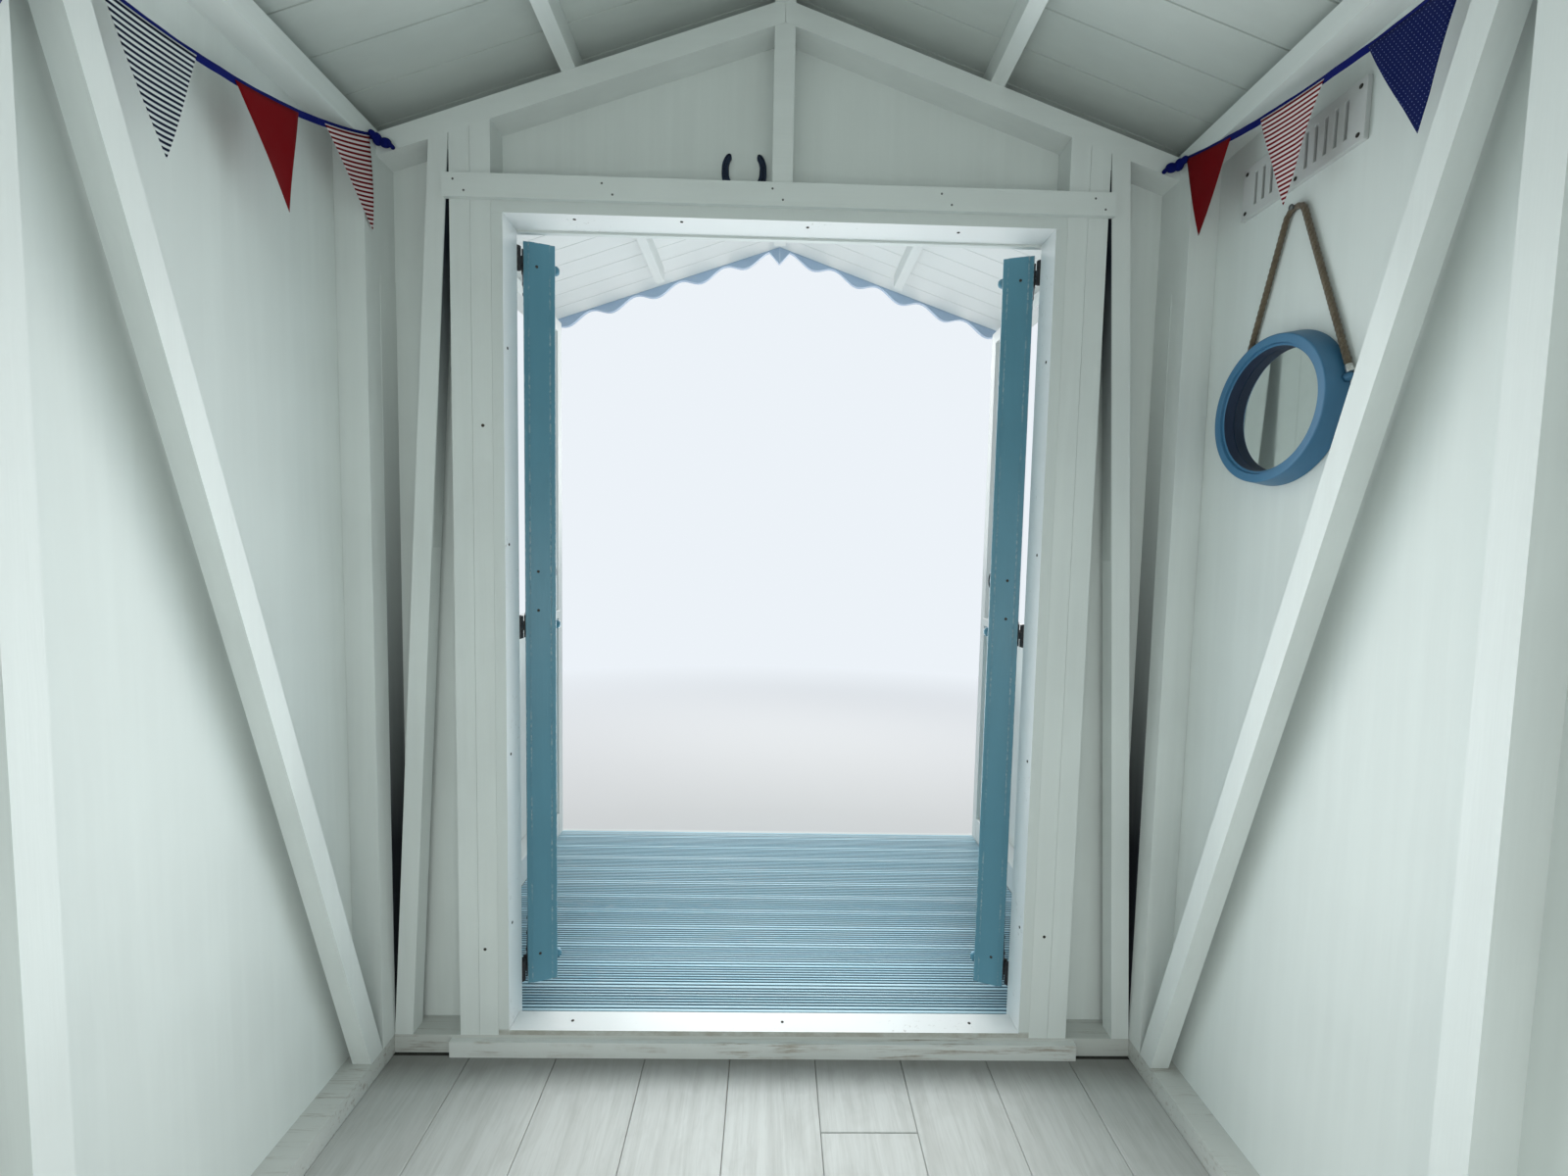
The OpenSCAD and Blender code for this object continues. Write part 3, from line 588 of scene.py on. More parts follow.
def round_edges(piece, width, edge=None):
    modifier = piece.modifiers.new("rounded edges", "BEVEL")
    modifier.width = width
    modifier.segments = 2
    modifier.limit_method = "ANGLE"
    modifier.angle_limit = math.radians(35)
    if edge:
        piece.data.materials.append(edge)
        modifier.material = 1


def dress(node, material, edge=None, bevel=0.0018):
    """Gives a CAD node its finish and slightly rounded edges."""
    piece = nodes[node]
    piece.data.materials.clear()
    piece.data.materials.append(material)
    if bevel:
        round_edges(piece, bevel, edge)


# CAD nodes that keep their shape

for material, edge, names in (
        (white_x, white_edge, ("header_rail", "gable_frames", "deck_fascia", "doorway_trim")),
        (white_y, white_edge, ("top_plates", "purlins")),
        (white_z, white_edge, ("side_studs", "front_studs", "back_studs", "braces", "porch_posts")),
        (white_z, white_edge, ("corner_boards",)),
        (sole_paint, white_edge, ("sole_plates",)),
        (lit_and_shaded_lining, white_edge, ("door_lining",)),
        (worn_white, white_edge, ("threshold_board",)),
        (teal, teal_edge, ("left_door_frame", "right_door_frame")),
        (barge_blue, None, ("bargeboards",)),
        (floor_timber, None, ("cabin_floor",)),
        (base_timber, None, ("floor_joists",)),
        (bearer_timber, None, ("bearers",))):
    for node in names:
        dress(node, material, edge)
dress("mirror_glass", silver, bevel=0.0)
dress("front_gable", wall_paint, bevel=0.0)


# Painted shade in the narrow gaps beside the steep braces, and dirt where the floor meets the front wall

DOOR_STUD_X = LINING_X + 0.09
BRACE_T = 0.042
BRACE_FOOT = ROOM_X - 0.001 - BRACE_T
BRACE_HEAD = DOOR_STUD_X + 0.001
BRACE_Z0 = span("sole_plates", 2)[1]
BRACE_Z1 = under_roof(BRACE_HEAD) - 0.098
SKIN = 0.0008
SUNK = 0.0002
LOW_GAP = (ROOM_Z + 0.055, ROOM_Z + 0.50, ROOM_Z + 1.80)
HIGH_GAP = (ROOM_Z + 1.20, ROOM_Z + 1.75, span("header_rail", 2)[1] + 0.055)


def brace_inside(z):
    """Distance from the centre line to the inner side of a steep brace at a height."""
    return BRACE_FOOT + (BRACE_HEAD - BRACE_FOOT) * (z - BRACE_Z0) / (BRACE_Z1 - BRACE_Z0)


# Thin sheets on the corner stud and on the brace's inner side: painted shade, darkest where the gaps are
# narrowest
low_gap_shade = painted_gap_shade("painted shade in the low gap", (0.006, 0.008, 0.016), (0.72, 0.76, 0.74),
                       LOW_GAP[1], LOW_GAP[2] - 0.06)
high_gap_shade = painted_gap_shade("painted shade in the high gap", (0.010, 0.018, 0.035), (0.62, 0.66, 0.64),
                        HIGH_GAP[1] + 0.12, HIGH_GAP[0])
low_gaps, high_gaps, floor_dirt = Build(), Build(), Build()
for sign in (-1, 1):
    low_gaps.box(*across(sign, ROOM_X - SKIN, ROOM_X + SUNK), WALL_IN + 0.0005, FRONT - 0.004,
                 LOW_GAP[0], LOW_GAP[2])
    high_gaps.add([(sign * (brace_inside(z) + dx), y, z) for z in (HIGH_GAP[0], HIGH_GAP[2])
                   for dx in (-SKIN, SUNK) for y in (FRONT - BRACE_T, FRONT - 0.003)], BOX_FACES)
    floor_dirt.box(*across(sign, DOOR_STUD_X + 0.021, ROOM_X - 0.001), FRONT + SUNK, FRONT + 0.009,
                   ROOM_Z, ROOM_Z + 0.0006)
low_gaps.piece("painted_shade_on_stud_in_low_gap", low_gap_shade, "white_paint")
high_gaps.piece("painted_shade_on_brace_in_high_gap", high_gap_shade, "white_paint")
floor_dirt.piece("dirty_floor_joint", joint_dirt, "floor_planks")


# Cladding

COURSE = 0.12
CLAD_T = SIDE_X - WALL_X
ARRIS = 0.001
NOSE = 0.002
COVE = ((0.014, 0.0), (0.010, 0.003), (0.004, 0.0065), (0.0015, 0.0065))


def course_rows(low, high):
    """Rows of a shiplap face. Each board has a small nose below and a cove at its top edge, given as
    distances below that edge and depths cut away."""
    rows = []
    z = low
    while z < high - 1e-6:
        top = min(z + COURSE, high)
        rows += [(z, CLAD_T - ARRIS), (z + NOSE, CLAD_T)]
        if top - z > 0.03:
            rows += [(top - below, CLAD_T - cut) for below, cut in COVE]
        z = top
    rows.append((high, CLAD_T - ARRIS))
    return rows


for side, sign in SIDES:
    build = Build()
    build.grooved(course_rows(CLAD_Z, under_roof(SIDE_X)),
                  lambda s, d, end: (sign * (WALL_X + d), (WALL_IN, BACK_IN)[end], s))
    build.box(*across(sign, WALL_X, SIDE_X - ARRIS), WALL_OUT, WALL_IN, CLAD_Z, FRONT_CLAD_Z)
    build.piece(side + "_cladding", wall_paint, "white_cladding", replaces=(side + "_wall",))


def gable_wall(name, node, y_in, sign, x0, x1, z_low):
    """Cladding on a gable, with its ends cut to the roof's slope."""
    peak = RIDGE_Z if x0 <= 0 <= x1 else under_roof(min(abs(x0), abs(x1)))
    rows = course_rows(z_low, peak)
    for z in sorted({under_roof(x0), under_roof(x1)}):
        if z_low < z < peak - 1e-4 and all(abs(z - row[0]) > 1e-4 for row in rows):
            after = next(i for i, row in enumerate(rows) if row[0] > z)
            (za, da), (zb, db) = rows[after - 1], rows[after]
            rows.insert(after, (z, da + (db - da) * (z - za) / (zb - za)))

    def place(s, depth, end):
        reach = (RIDGE_Z - s) / SLOPE
        return (min(x1, reach) if end else max(x0, -reach), y_in + sign * depth, s)

    build = Build()
    build.grooved(rows, place)
    build.piece(name, wall_paint, "white_cladding", replaces=(node,))


gable_wall("back_cladding", "back_wall", BACK_IN, 1, -SIDE_X, SIDE_X, CLAD_Z)
gable_wall("front_cladding_right", "front_wall_right", WALL_IN, -1, LINING_X, SIDE_X, FRONT_CLAD_Z)
gable_wall("front_cladding_left", "front_wall_left", WALL_IN, -1, -SIDE_X, -LINING_X, FRONT_CLAD_Z)


# Roof boards and felt

ROOF_BOARD = 0.1017
ROOF_GAP = 0.0006
ROOF_JOINT = 0.0016
ROOF_V = ROOF_T - 0.0022
RIDGE_GAP = 0.001
ROOF_REACH = (EAVES_X - 0.002) / COS_PITCH
FELT_T = 0.003
FELT_STRIP = ROOF_REACH / 3
FELT_LAP = 0.03
FELT_LIFT = 0.0006
FELT_RIPPLE = 0.0003
FELT_CUTS = 60


def slope_point(sign, reach, up, y):
    """A point on a roof slope: a distance down it from the ridge, and a height square to it."""
    x = reach * COS_PITCH + up * SLOPE * COS_PITCH
    return (sign * x, y, RIDGE_Z - reach * SLOPE * COS_PITCH + up * COS_PITCH)


build = Build()
for sign in (-1, 1):
    y = ROOF_Y0
    while y < ROOF_Y1 - 0.004:
        end = min(y + ROOF_BOARD, ROOF_Y1)
        rows = [(y + ROOF_GAP, -ROOF_V), (y + ROOF_JOINT, -ROOF_T), (end - ROOF_JOINT, -ROOF_T),
                (end - ROOF_GAP, -ROOF_V)]
        build.grooved(rows, lambda s, d, far: slope_point(sign, (RIDGE_GAP, ROOF_REACH)[far], ROOF_T + d, s))
        y = end
build.piece("roof_boarding", shaded_roof_paint, "white_cladding", replaces=("roof_boards",))


def felt_strip(build, sign, index):
    """One of the three strips of felt on a slope, rippled and lapped over the strip below it."""
    near = max(ROOF_REACH - (index + 1) * FELT_STRIP - FELT_LAP, 0.0)
    far = ROOF_REACH - index * ROOF_REACH / 3
    lines = (near, near + 0.02, (near + far) / 2, far - 0.01, far)
    lift = FELT_LIFT * index
    top, low = [], []
    for k in range(FELT_CUTS + 1):
        y = ROOF_Y0 + (ROOF_Y1 - ROOF_Y0) * k / FELT_CUTS
        ripple = FELT_RIPPLE * math.sin(k * 1.7 + index) + FELT_RIPPLE * math.sin(k * 0.61 + 2 * index)
        for reach in lines:
            lap = 0.0008 if reach >= far - 0.011 and index else 0.0
            top.append(slope_point(sign, reach, ROOF_T + 0.0018 + lift + ripple + lap, y))
            low.append(slope_point(sign, reach, ROOF_T + 0.0002 + lift * 0.5, y))
    cols, n = len(lines), len(top)
    faces = []
    for k in range(FELT_CUTS):
        for a in range(k * cols, k * cols + cols - 1):
            faces.append((a, a + 1, a + cols + 1, a + cols))
            faces.append((n + a, n + a + cols, n + a + cols + 1, n + a + 1))
        for a in (k * cols, k * cols + cols - 1):
            faces.append((a, a + cols, n + a + cols, n + a))
    for k in (0, FELT_CUTS):
        for a in range(k * cols, k * cols + cols - 1):
            faces.append((a, n + a, n + a + 1, a + 1))
    build.add(top + low, faces)


build = Build()
for sign in (-1, 1):
    for index in range(3):
        felt_strip(build, sign, index)
build.piece("felt_strips", felt, "felt", replaces=("roof_felt",))


def facing(x, y, z, way):
    """Places a small turned head at a point of a face that looks along way."""
    direction = Vector(way).normalized()
    side = direction.orthogonal().normalized()
    up = direction.cross(side)
    centre = Vector((x, y, z))
    return lambda u, v, h: centre + side * u + up * v + direction * h


def nail(build, place, radius, proud):
    """A small domed nail head, given as its place, its radius and how far it stands proud."""
    build.lathe([(radius, 0.0), (radius * 0.8, proud), (AXIS_R, proud * 1.4)], place, steps=8)


CLOUTS = 30
CLOUT = (0.0042, 0.0009)
WALL_NAIL = (0.0028, 0.0003)
RAIL_NAIL = (0.0026, 0.0002)
BARGE_NAIL = (0.0035, 0.0005)
PORCH_SIDE_TOP = 1.08
EAVES_ROOM = 0.03
COURSE_NAIL = 0.035
SIDE_COURSES = 18
clouts = Build()
for i in range(CLOUTS):
    y = ROOF_Y0 + 0.04 + (ROOF_Y1 - ROOF_Y0 - 0.08) * i / (CLOUTS - 1)
    for sign in (-1, 1):
        for reach in (ROOF_REACH - FELT_LAP, ROOF_REACH * 2 / 3 - 0.010, ROOF_REACH / 3 - 0.010):
            place = slope_point(sign, reach, ROOF_T + FELT_T, y)
            nail(clouts, facing(*place, (sign * SLOPE, 0, 1)), *CLOUT)
clouts.piece("felt_clouts", zinc_dull, "black_iron", smooth=True)

wall_nails = Build()
stud_ys = [FRONT + 0.022 + k * (BACK - FRONT - 0.045) / 3 for k in range(4)] + [BACK_IN - 0.02]
courses = [CLAD_Z + COURSE * k + COURSE_NAIL for k in range(21)]
for sign in (-1, 1):
    for z in courses[:SIDE_COURSES]:
        ys = stud_ys if z < under_roof(SIDE_X) - EAVES_ROOM else []
        ys = ys + ([PORCH + 0.055, WALL_OUT - 0.025] if z < PORCH_SIDE_TOP else [])
        for y in ys:
            nail(wall_nails, facing(sign * SIDE_X, y, z, (sign, 0, 0)), *WALL_NAIL)
for z in courses:
    for x in (-0.90, -0.44, 0.0, 0.44, 0.90):
        if z < under_roof(x) - EAVES_ROOM:
            nail(wall_nails, facing(x, BACK_OUT, z, (0, 1, 0)), *WALL_NAIL)
wall_nails.piece("painted_nail_heads", wall_paint, "white_cladding", smooth=True)


# Porch deck, sides and floor planks

DECK_PITCH = 0.091
DECK_GAP = 0.004
DECK_RIBS = 7
DECK_GROOVE = 0.0055
DECK_EDGE = 0.009
DECK_SINK = 0.004
DECK_SOFT = 0.0012
DECK_SLOPE = 0.001
DECK_NOSE = (0.0015, 0.002)
DECK_T = DECK_TOP - DECK_Z


def deck_rows(y0, y1):
    """Ribs and grooves across one deck board, with a wider rib at each edge."""
    groove = ((-DECK_SLOPE, 0.0), (0.0, DECK_SOFT), (DECK_SLOPE, DECK_SINK))
    rows = [(y0, DECK_T - DECK_NOSE[1]), (y0 + DECK_NOSE[0], DECK_T)]
    y = y0 + DECK_EDGE
    while y + DECK_GROOVE < y1 - DECK_EDGE * 0.6:
        rows += [(y + off, DECK_T - sunk) for off, sunk in groove]
        rows += [(y + DECK_GROOVE - off, DECK_T - sunk) for off, sunk in reversed(groove)]
        y += (y1 - y0 - 2 * DECK_EDGE + DECK_GROOVE) / DECK_RIBS
    return rows + [(y1 - DECK_NOSE[0], DECK_T), (y1, DECK_T - DECK_NOSE[1])]


build = Build()
y = span("porch_deck", 1)[1]
while y > PORCH + 0.02:
    build.grooved(deck_rows(max(PORCH, y - DECK_PITCH + DECK_GAP), y),
                  lambda s, d, end: ((-ROOM_X, ROOM_X)[end], s, DECK_Z + d))
    y -= DECK_PITCH
build.piece("deck_boards", deck_blue, "deck_paint", replaces=("porch_deck",))

SEAMS = (-ROOM_X, -0.728, -0.527, -0.322, -0.118, 0.084, 0.285, 0.494, 0.698, ROOM_X)
BUTT_SEAM = 3
PLANK_L = 1.21
PLANK_GAP = 0.0006
PLANK_BEVEL = 0.0015
build = Build()
for i, (x0, x1) in enumerate(zip(SEAMS, SEAMS[1:])):
    y = FRONT + 0.205 if i == BUTT_SEAM else FRONT + 0.35 + 0.93 * ((i * 0.37) % 1.0)
    cuts = [FRONT]
    while y < BACK - 0.1:
        cuts.append(y)
        y += PLANK_L
    cuts.append(BACK)
    for y0, y1 in zip(cuts, cuts[1:]):
        g, b = PLANK_GAP, PLANK_BEVEL
        low = rectangle(x0 + g, x1 - g, y0 + g, y1 - g)
        high = rectangle(x0 + g + b, x1 - g - b, y0 + g + b, y1 - g - b)
        faces = [(3, 2, 1, 0), (8, 9, 10, 11)]
        for k in range(4):
            m = (k + 1) % 4
            faces += [(k, m, 4 + m, 4 + k), (4 + k, 4 + m, 8 + m, 8 + k)]
        levels = ((low, PLANK_Z), (low, ROOM_Z - 0.0012), (high, ROOM_Z))
        build.add([(x, y, z) for corners, z in levels for x, y in corners], faces)
build.piece("plank_floor", planks, "floor_planks", replaces=("floor_planks",))

POST_END = 0.0453
SEAT = 0.0003
side_ys = span("porch_sides", 1)
side_low, cap_high = span("porch_sides", 2)
cap_low = cap_high - 0.032
CAP_PAST = 0.008
SKIRTING = 0.095
boards, rails = Build(), Build()
for sign in (-1, 1):
    boards.grooved(course_rows(side_low, cap_low - SEAT),
                   lambda s, d, end: (sign * (WALL_X + d), side_ys[end], s))
    for near, far, low, high in ((ROOM_X - CAP_PAST, SIDE_X + CAP_PAST, cap_low, cap_high),
                                 (ROOM_X, WALL_X - SEAT, DECK_TOP, DECK_TOP + SKIRTING)):
        rails.box(*across(sign, near, far), PORCH + POST_END, WALL_OUT - POST_END, low, high)
boards.piece("porch_side_boards", wall_paint, "white_cladding", replaces=("porch_sides",))
rails.piece("porch_rails", white_y, "white_paint", bevel=0.003)


# Doors

LEAF_LOW, LEAF_HIGH = span("right_door_frame", 2)
LEAF_FAR = -LEAF_X - LEAF_W
LEAF_BOARDS = 6
V_HALF = 0.0028
V_DEPTH = 0.003
V_END = 0.0008
HINGES = (LEAF_LOW + 0.045, (LEAF_LOW + LEAF_HIGH) / 2, LEAF_HIGH - 0.045)
HINGE_H = 0.054
HINGE_THIRD = HINGE_H / 3
STRAP_FACE = LEAF_Y - 0.003
STRAP_R = 0.012
STRAP_TIP = -0.350 + STRAP_R
STRAP_RIVETS = (-0.085, -0.16, -0.235, -0.31)
NUT_X = -LEAF_X - 0.035
NUT_R = 0.011
PLATE_FACE = 0.005
PLATE_BACK = 0.0079
BOW_HALF = 0.0275
BOW_OUT = 0.0135
BOW_R = 0.0024
BOW_STEPS = 24


def leaf_matrix(sign):
    """From a leaf drawn closed about its pin to its place at rest."""
    turn = Matrix.Translation((PIN_X, PIN_Y, 0)) @ Matrix.Rotation(DOOR_OPEN, 4, "Z")
    return Matrix.Scale(sign, 4, (1, 0, 0)) @ turn


def board_rows(low, high):
    """Rows of one face of a leaf: vertical boards with V joints between them."""
    rows = []
    width = (high - low) / LEAF_BOARDS
    for i in range(LEAF_BOARDS):
        a, b = low + i * width, low + (i + 1) * width
        rows += [(a, SKIN_T - (V_DEPTH if i else V_END)), (a + V_HALF, SKIN_T), (b - V_HALF, SKIN_T)]
    rows.append((high, SKIN_T - V_END))
    return rows


def knuckle(bore, radius, half):
    """The profile of a hinge knuckle with softened ends."""
    return [(bore, -half), (radius - 0.0004, -half), (radius, -half + 0.0006), (radius, half - 0.0006),
            (radius - 0.0004, half), (bore, half)]


def door_leaf(side, sign):
    body = side + "_door"
    ride = {"body": body, "move": leaf_matrix(sign)}
    back = LEAF_Y + LEAF_T
    skins, straps, bolts, handle = Build(), Build(), Build(), Build()
    rows = board_rows(LEAF_FAR + SKIN_INSET, -LEAF_X - SKIN_INSET)
    skins.grooved(rows, lambda s, d, end: (s, LEAF_Y + SKIN_T - d, (LEAF_LOW, LEAF_HIGH)[end]))
    skins.grooved(rows, lambda s, d, end: (s, back - SKIN_T + d, (LEAF_LOW, LEAF_HIGH)[end]))
    skins.piece(body + "_boards", teal, "teal_paint", replaces=(side + "_door_skins",), **ride)

    crank = HINGE_H / 6 - 0.0003
    for z in HINGES:
        outline = [(-LEAF_X - 0.002, -HINGE_H / 2), (-LEAF_X - 0.002, HINGE_H / 2)]
        outline += [(STRAP_TIP + u, v) for u, v in arc(STRAP_R, 90, 271, 15)]
        straps.prism(outline, lambda u, v, d: (u, d, z + v), STRAP_FACE, LEAF_Y - 0.0001)
        straps.box(-LEAF_X - 0.004, -0.005, 0.004, LEAF_Y, z - crank, z + crank)
        straps.lathe(knuckle(0.0041, 0.0077, crank), lambda u, v, h: (u, v, z + h), 32, closed=True)
        for x in STRAP_RIVETS:
            straps.lathe([(0.0052, 0.0), (0.0050, 0.0012), (0.0035, 0.0022), (AXIS_R, 0.0026)],
                         lambda a, b, h: (x + a, STRAP_FACE - h, z + b), 16)
        straps.prism(arc(NUT_R, 0, 360, 60), lambda u, v, d: (NUT_X + u, d, z + v), STRAP_FACE,
                     LEAF_Y - 0.0105)
        bolts.lathe([(0.0115, 0.0), (0.0115, 0.0015), (0.0108, 0.0048), (0.0088, 0.0082), (0.0058, 0.0106),
                     (AXIS_R, 0.0115)], lambda a, b, h: (NUT_X + a, back + h, z + b), 32)
    ironwork = (side + "_door_ironwork",)
    straps.piece(body + "_hinge_straps", iron, "black_iron", replaces=ironwork, bevel=0.0006, **ride)
    bolts.piece(body + "_bolt_heads", teal, "teal_paint", replaces=ironwork, smooth=True, **ride)

    x = LEAF_FAR + 0.076
    z = LEAF_LOW + (LEAF_HIGH - LEAF_LOW) * 0.56
    turns = [math.pi * k / BOW_STEPS for k in range(BOW_STEPS + 1)]
    handle.tube([(x, back + BOW_OUT * math.sin(a) ** 0.8, z - BOW_HALF * math.cos(a)) for a in turns], BOW_R)
    for end in (-1, 1):
        handle.lathe([(0.007, 0.0), (0.007, 0.001), (0.005, 0.0022), (0.0026, 0.0026)],
                     lambda a, b, h: (x + a, back + h, z + end * BOW_HALF + b), 20)
    handle.piece(body + "_bow_handle", iron, "black_iron", replaces=(side + "_door_handle",), smooth=True,
                 **ride)


def fixed_hinge(build, sign, z):
    """The pin, the two outer knuckles and the plate that stay on the doorway."""
    def place(u, v, h):
        return (sign * (PIN_X + u), PIN_Y + v, z + h)

    half = HINGE_H / 2
    for k in (-1, 1):
        build.lathe(knuckle(AXIS_R, 0.008, HINGE_THIRD / 2),
                    lambda u, v, h: place(u, v, h + k * HINGE_THIRD), 32)
    build.lathe([(AXIS_R, -half - 0.0015), (0.0038, -half - 0.0012), (0.0038, half + 0.0012),
                 (AXIS_R, half + 0.0015)], place)
    plate = [(0.009, -half), (0.036, -half), (0.038, -half + 0.002), (0.038, half - 0.002), (0.036, half),
             (0.009, half)]
    build.prism(plate, lambda u, v, d: place(u, d, v), PLATE_FACE, PLATE_BACK)
    for k in (-1, 1):
        low = k * HINGE_THIRD - HINGE_THIRD / 2
        crank = rectangle(0.004, 0.010, low, k * HINGE_THIRD + HINGE_THIRD / 2)
        build.prism(crank, lambda u, v, d: place(u, d, v), PLATE_FACE, PLATE_BACK)
        build.lathe([(0.0045, 0.0), (0.0042, 0.0010), (AXIS_R, 0.0018)],
                    lambda a, b, h: place(0.0245 + a, PLATE_FACE - h, k * 0.017 + b), 16)


fixed = Build()
for side, sign in SIDES:
    door_leaf(side, sign)
    for z in HINGES:
        fixed_hinge(fixed, sign, z)
fixed.piece("fixed_hinge_plates", iron, "black_iron", replaces=("jamb_hinges",), bevel=0.0004)


# Mirror with its rope, on the left wall

MIRROR_Y = middle("mirror_rim", 1)
MIRROR_Z = middle("mirror_rim", 2)
MIRROR_R = size("mirror_rim", 1) / 2
GLASS_R = size("mirror_glass", 1) / 2
GLASS_FACE = span("mirror_glass", 0)[1] + WALL_X
RIM_T = size("mirror_rim", 0)
RIM_TAPER = 0.006
RIM_ROUND = 0.003
RIM_SEAT = 0.0003
LIP = GLASS_R - 0.0089


def on_left_wall(y, z):
    """Places a turned or flat piece on the left wall: u runs to the back, v up, h into the room."""
    return lambda u, v, h: (-WALL_X + h, y + u, z + v)


profile = [(GLASS_R + RIM_SEAT, 0.0005), (MIRROR_R - 0.0012, 0.0005), (MIRROR_R, 0.0018)]
for angle in range(0, 91, 15):
    a = math.radians(angle)
    profile.append((MIRROR_R - RIM_TAPER - RIM_ROUND * (1 - math.cos(a)),
                    RIM_T - RIM_ROUND * (1 - math.sin(a))))
profile += [(LIP + step, RIM_T - depth) for step, depth in (
    (0.0060, 0.0), (0.0053, 0.0008), (0.0050, 0.0040), (0.0046, 0.0052), (0.0038, 0.0046), (0.0010, 0.0046),
    (0.0, 0.0060), (0.0, 0.0150))]
profile += [(LIP, GLASS_FACE + RIM_SEAT), (GLASS_R + RIM_SEAT, GLASS_FACE + RIM_SEAT)]
build = Build()
build.lathe(profile, on_left_wall(MIRROR_Y, MIRROR_Z), steps=96, closed=True)
rim = build.piece("turned_mirror_rim", rim_blue, "mirror_rim", replaces=("mirror_rim",), smooth=True)
rim.data.set_sharp_from_angle(angle=math.radians(32))
# The rim's inner wall by the glass takes a near black navy, partly its paint and partly painted shade
rim.data.materials.append(rim_inside_shade)
for face in rim.data.polygons:
    off = math.hypot(face.center.y - MIRROR_Y, face.center.z - MIRROR_Z)
    if off < LIP + 0.0004 and abs(face.center.x) > ROOM_X - RIM_T + 0.0160:
        face.material_index = 1

ROPE_R = 0.0055
ROPE_LIFT = ROPE_R + 0.0012
ROPE_BEND = 0.0225
ROPE_TOP = 0.373
ROPE_CORNER = 0.410
ROPE_PAST = 0.020
ROPE_STEP = 0.0022
STRANDS = 3
LAY = 0.032
HOOK_R = 0.0035
HOOK_U = 0.002
BEND_STEPS = 12


def rounded_corner(a, b, c, radius):
    """Points of a line from a to c that turns at b with a radius."""
    to_a, to_c = (a - b).normalized(), (c - b).normalized()
    half = to_a.angle(to_c) / 2
    cut = radius / math.tan(half)
    centre = b + (to_a + to_c).normalized() * radius / math.sin(half)
    start, end = b + to_a * cut, b + to_c * cut
    first, last = start - centre, end - centre
    turn = first.angle(last)
    axis = first.cross(last).normalized()
    steps = range(BEND_STEPS + 1)
    bend = [centre + Matrix.Rotation(turn * k / BEND_STEPS, 3, axis) @ first for k in steps]
    straight_in = [a.lerp(start, k / BEND_STEPS) for k in steps[:-1]]
    straight_out = [end.lerp(c, k / BEND_STEPS) for k in steps[1:]]
    return straight_in + bend + straight_out


def resample(points, step):
    """Points at an even spacing along a path."""
    even = [points[0]]
    carried = 0.0
    for a, b in zip(points, points[1:]):
        length = (b - a).length
        at = step - carried
        while at < length:
            even.append(a.lerp(b, at / length))
            at += step
        carried = (carried + length) % step
    return even + [points[-1]]


def on_rope(u, v):
    return Vector((-WALL_X + ROPE_LIFT, MIRROR_Y + u, MIRROR_Z + v))


rope_reach = MIRROR_R + ROPE_R + 0.0004
touch = math.atan2(ROPE_CORNER, HOOK_U) - math.acos(rope_reach / math.hypot(HOOK_U, ROPE_CORNER))
left_end = math.radians(136)
sunk_end = MIRROR_R - 0.002
rope_start = on_rope(sunk_end * math.cos(left_end), sunk_end * math.sin(left_end))
rope_stop = on_rope(rope_reach * math.cos(touch) + ROPE_PAST * math.sin(touch),
                    rope_reach * math.sin(touch) - ROPE_PAST * math.cos(touch))
rope_path = rounded_corner(rope_start, on_rope(HOOK_U, ROPE_CORNER), rope_stop, ROPE_BEND)
rope_length = sum((b - a).length for a, b in zip(rope_path, rope_path[1:]))
build = Build()
build.tube(resample(rope_path, ROPE_STEP), ROPE_R, 24,
           lambda a, run: 0.80 + 0.20 * abs(math.cos(STRANDS / 2 * (a - 2 * math.pi * run / LAY))))
rope = build.piece("mirror_hanging_rope", rope_jute, "jute", replaces=("mirror_rope",), smooth=True)

end = rope_path[-1]
direction = (rope_path[-2] - end).normalized()
side_way = direction.orthogonal().normalized()
up_way = direction.cross(side_way)
ferrules = turned("rope_ferrule", ferrule_steel, "black_iron",
                  [(0.0056, -0.0006), (0.0062, 0.0), (0.0064, 0.0012), (0.0064, 0.0118), (0.0060, 0.0130)],
                  lambda u, v, h: end + side_way * u + up_way * v + direction * h)
ferrules.data.set_sharp_from_angle(angle=math.radians(40))

outward = Vector((0, end.y - MIRROR_Y, end.z - MIRROR_Z)).normalized()
along = outward.cross(Vector((1, 0, 0)))
seat = end - direction * 0.006 + outward * (MIRROR_R - 0.003 - (end - on_rope(0, 0)).length)
turned("rope_eye_on_rim", rim_blue, "mirror_rim",
       [(0.0075, 0.0), (0.0075, 0.005), (0.0062, 0.0095), (0.0035, 0.0125), (AXIS_R, 0.0135)],
       lambda u, v, h: seat + along * u + Vector((v, 0, 0)) + outward * h)
turned("rope_hook", zinc_dull, "black_iron",
       [(AXIS_R, 0.0), (HOOK_R, 0.0), (HOOK_R, 0.014), (0.0052, 0.0145), (0.0052, 0.0158), (AXIS_R, 0.0165)],
       on_left_wall(MIRROR_Y + HOOK_U, MIRROR_Z + ROPE_TOP - ROPE_R - HOOK_R))
tuple(rope_path[0])
[tuple(p) for p in rope_path]


# Vent

VENT_Y = middle("vent", 1)
VENT_Z = middle("vent", 2)
VENT_T, VENT_W, VENT_H = (size("vent", axis) for axis in range(3))
SLOT_PITCH = 0.020
SLOT_W = 0.0068
SLOT_H = 0.062
SLOT_GROUP = 0.060
SLOT_SHADE_W = 0.090
SLOT_SHADE_H = 0.064
on_vent = on_left_wall(VENT_Y, VENT_Z)


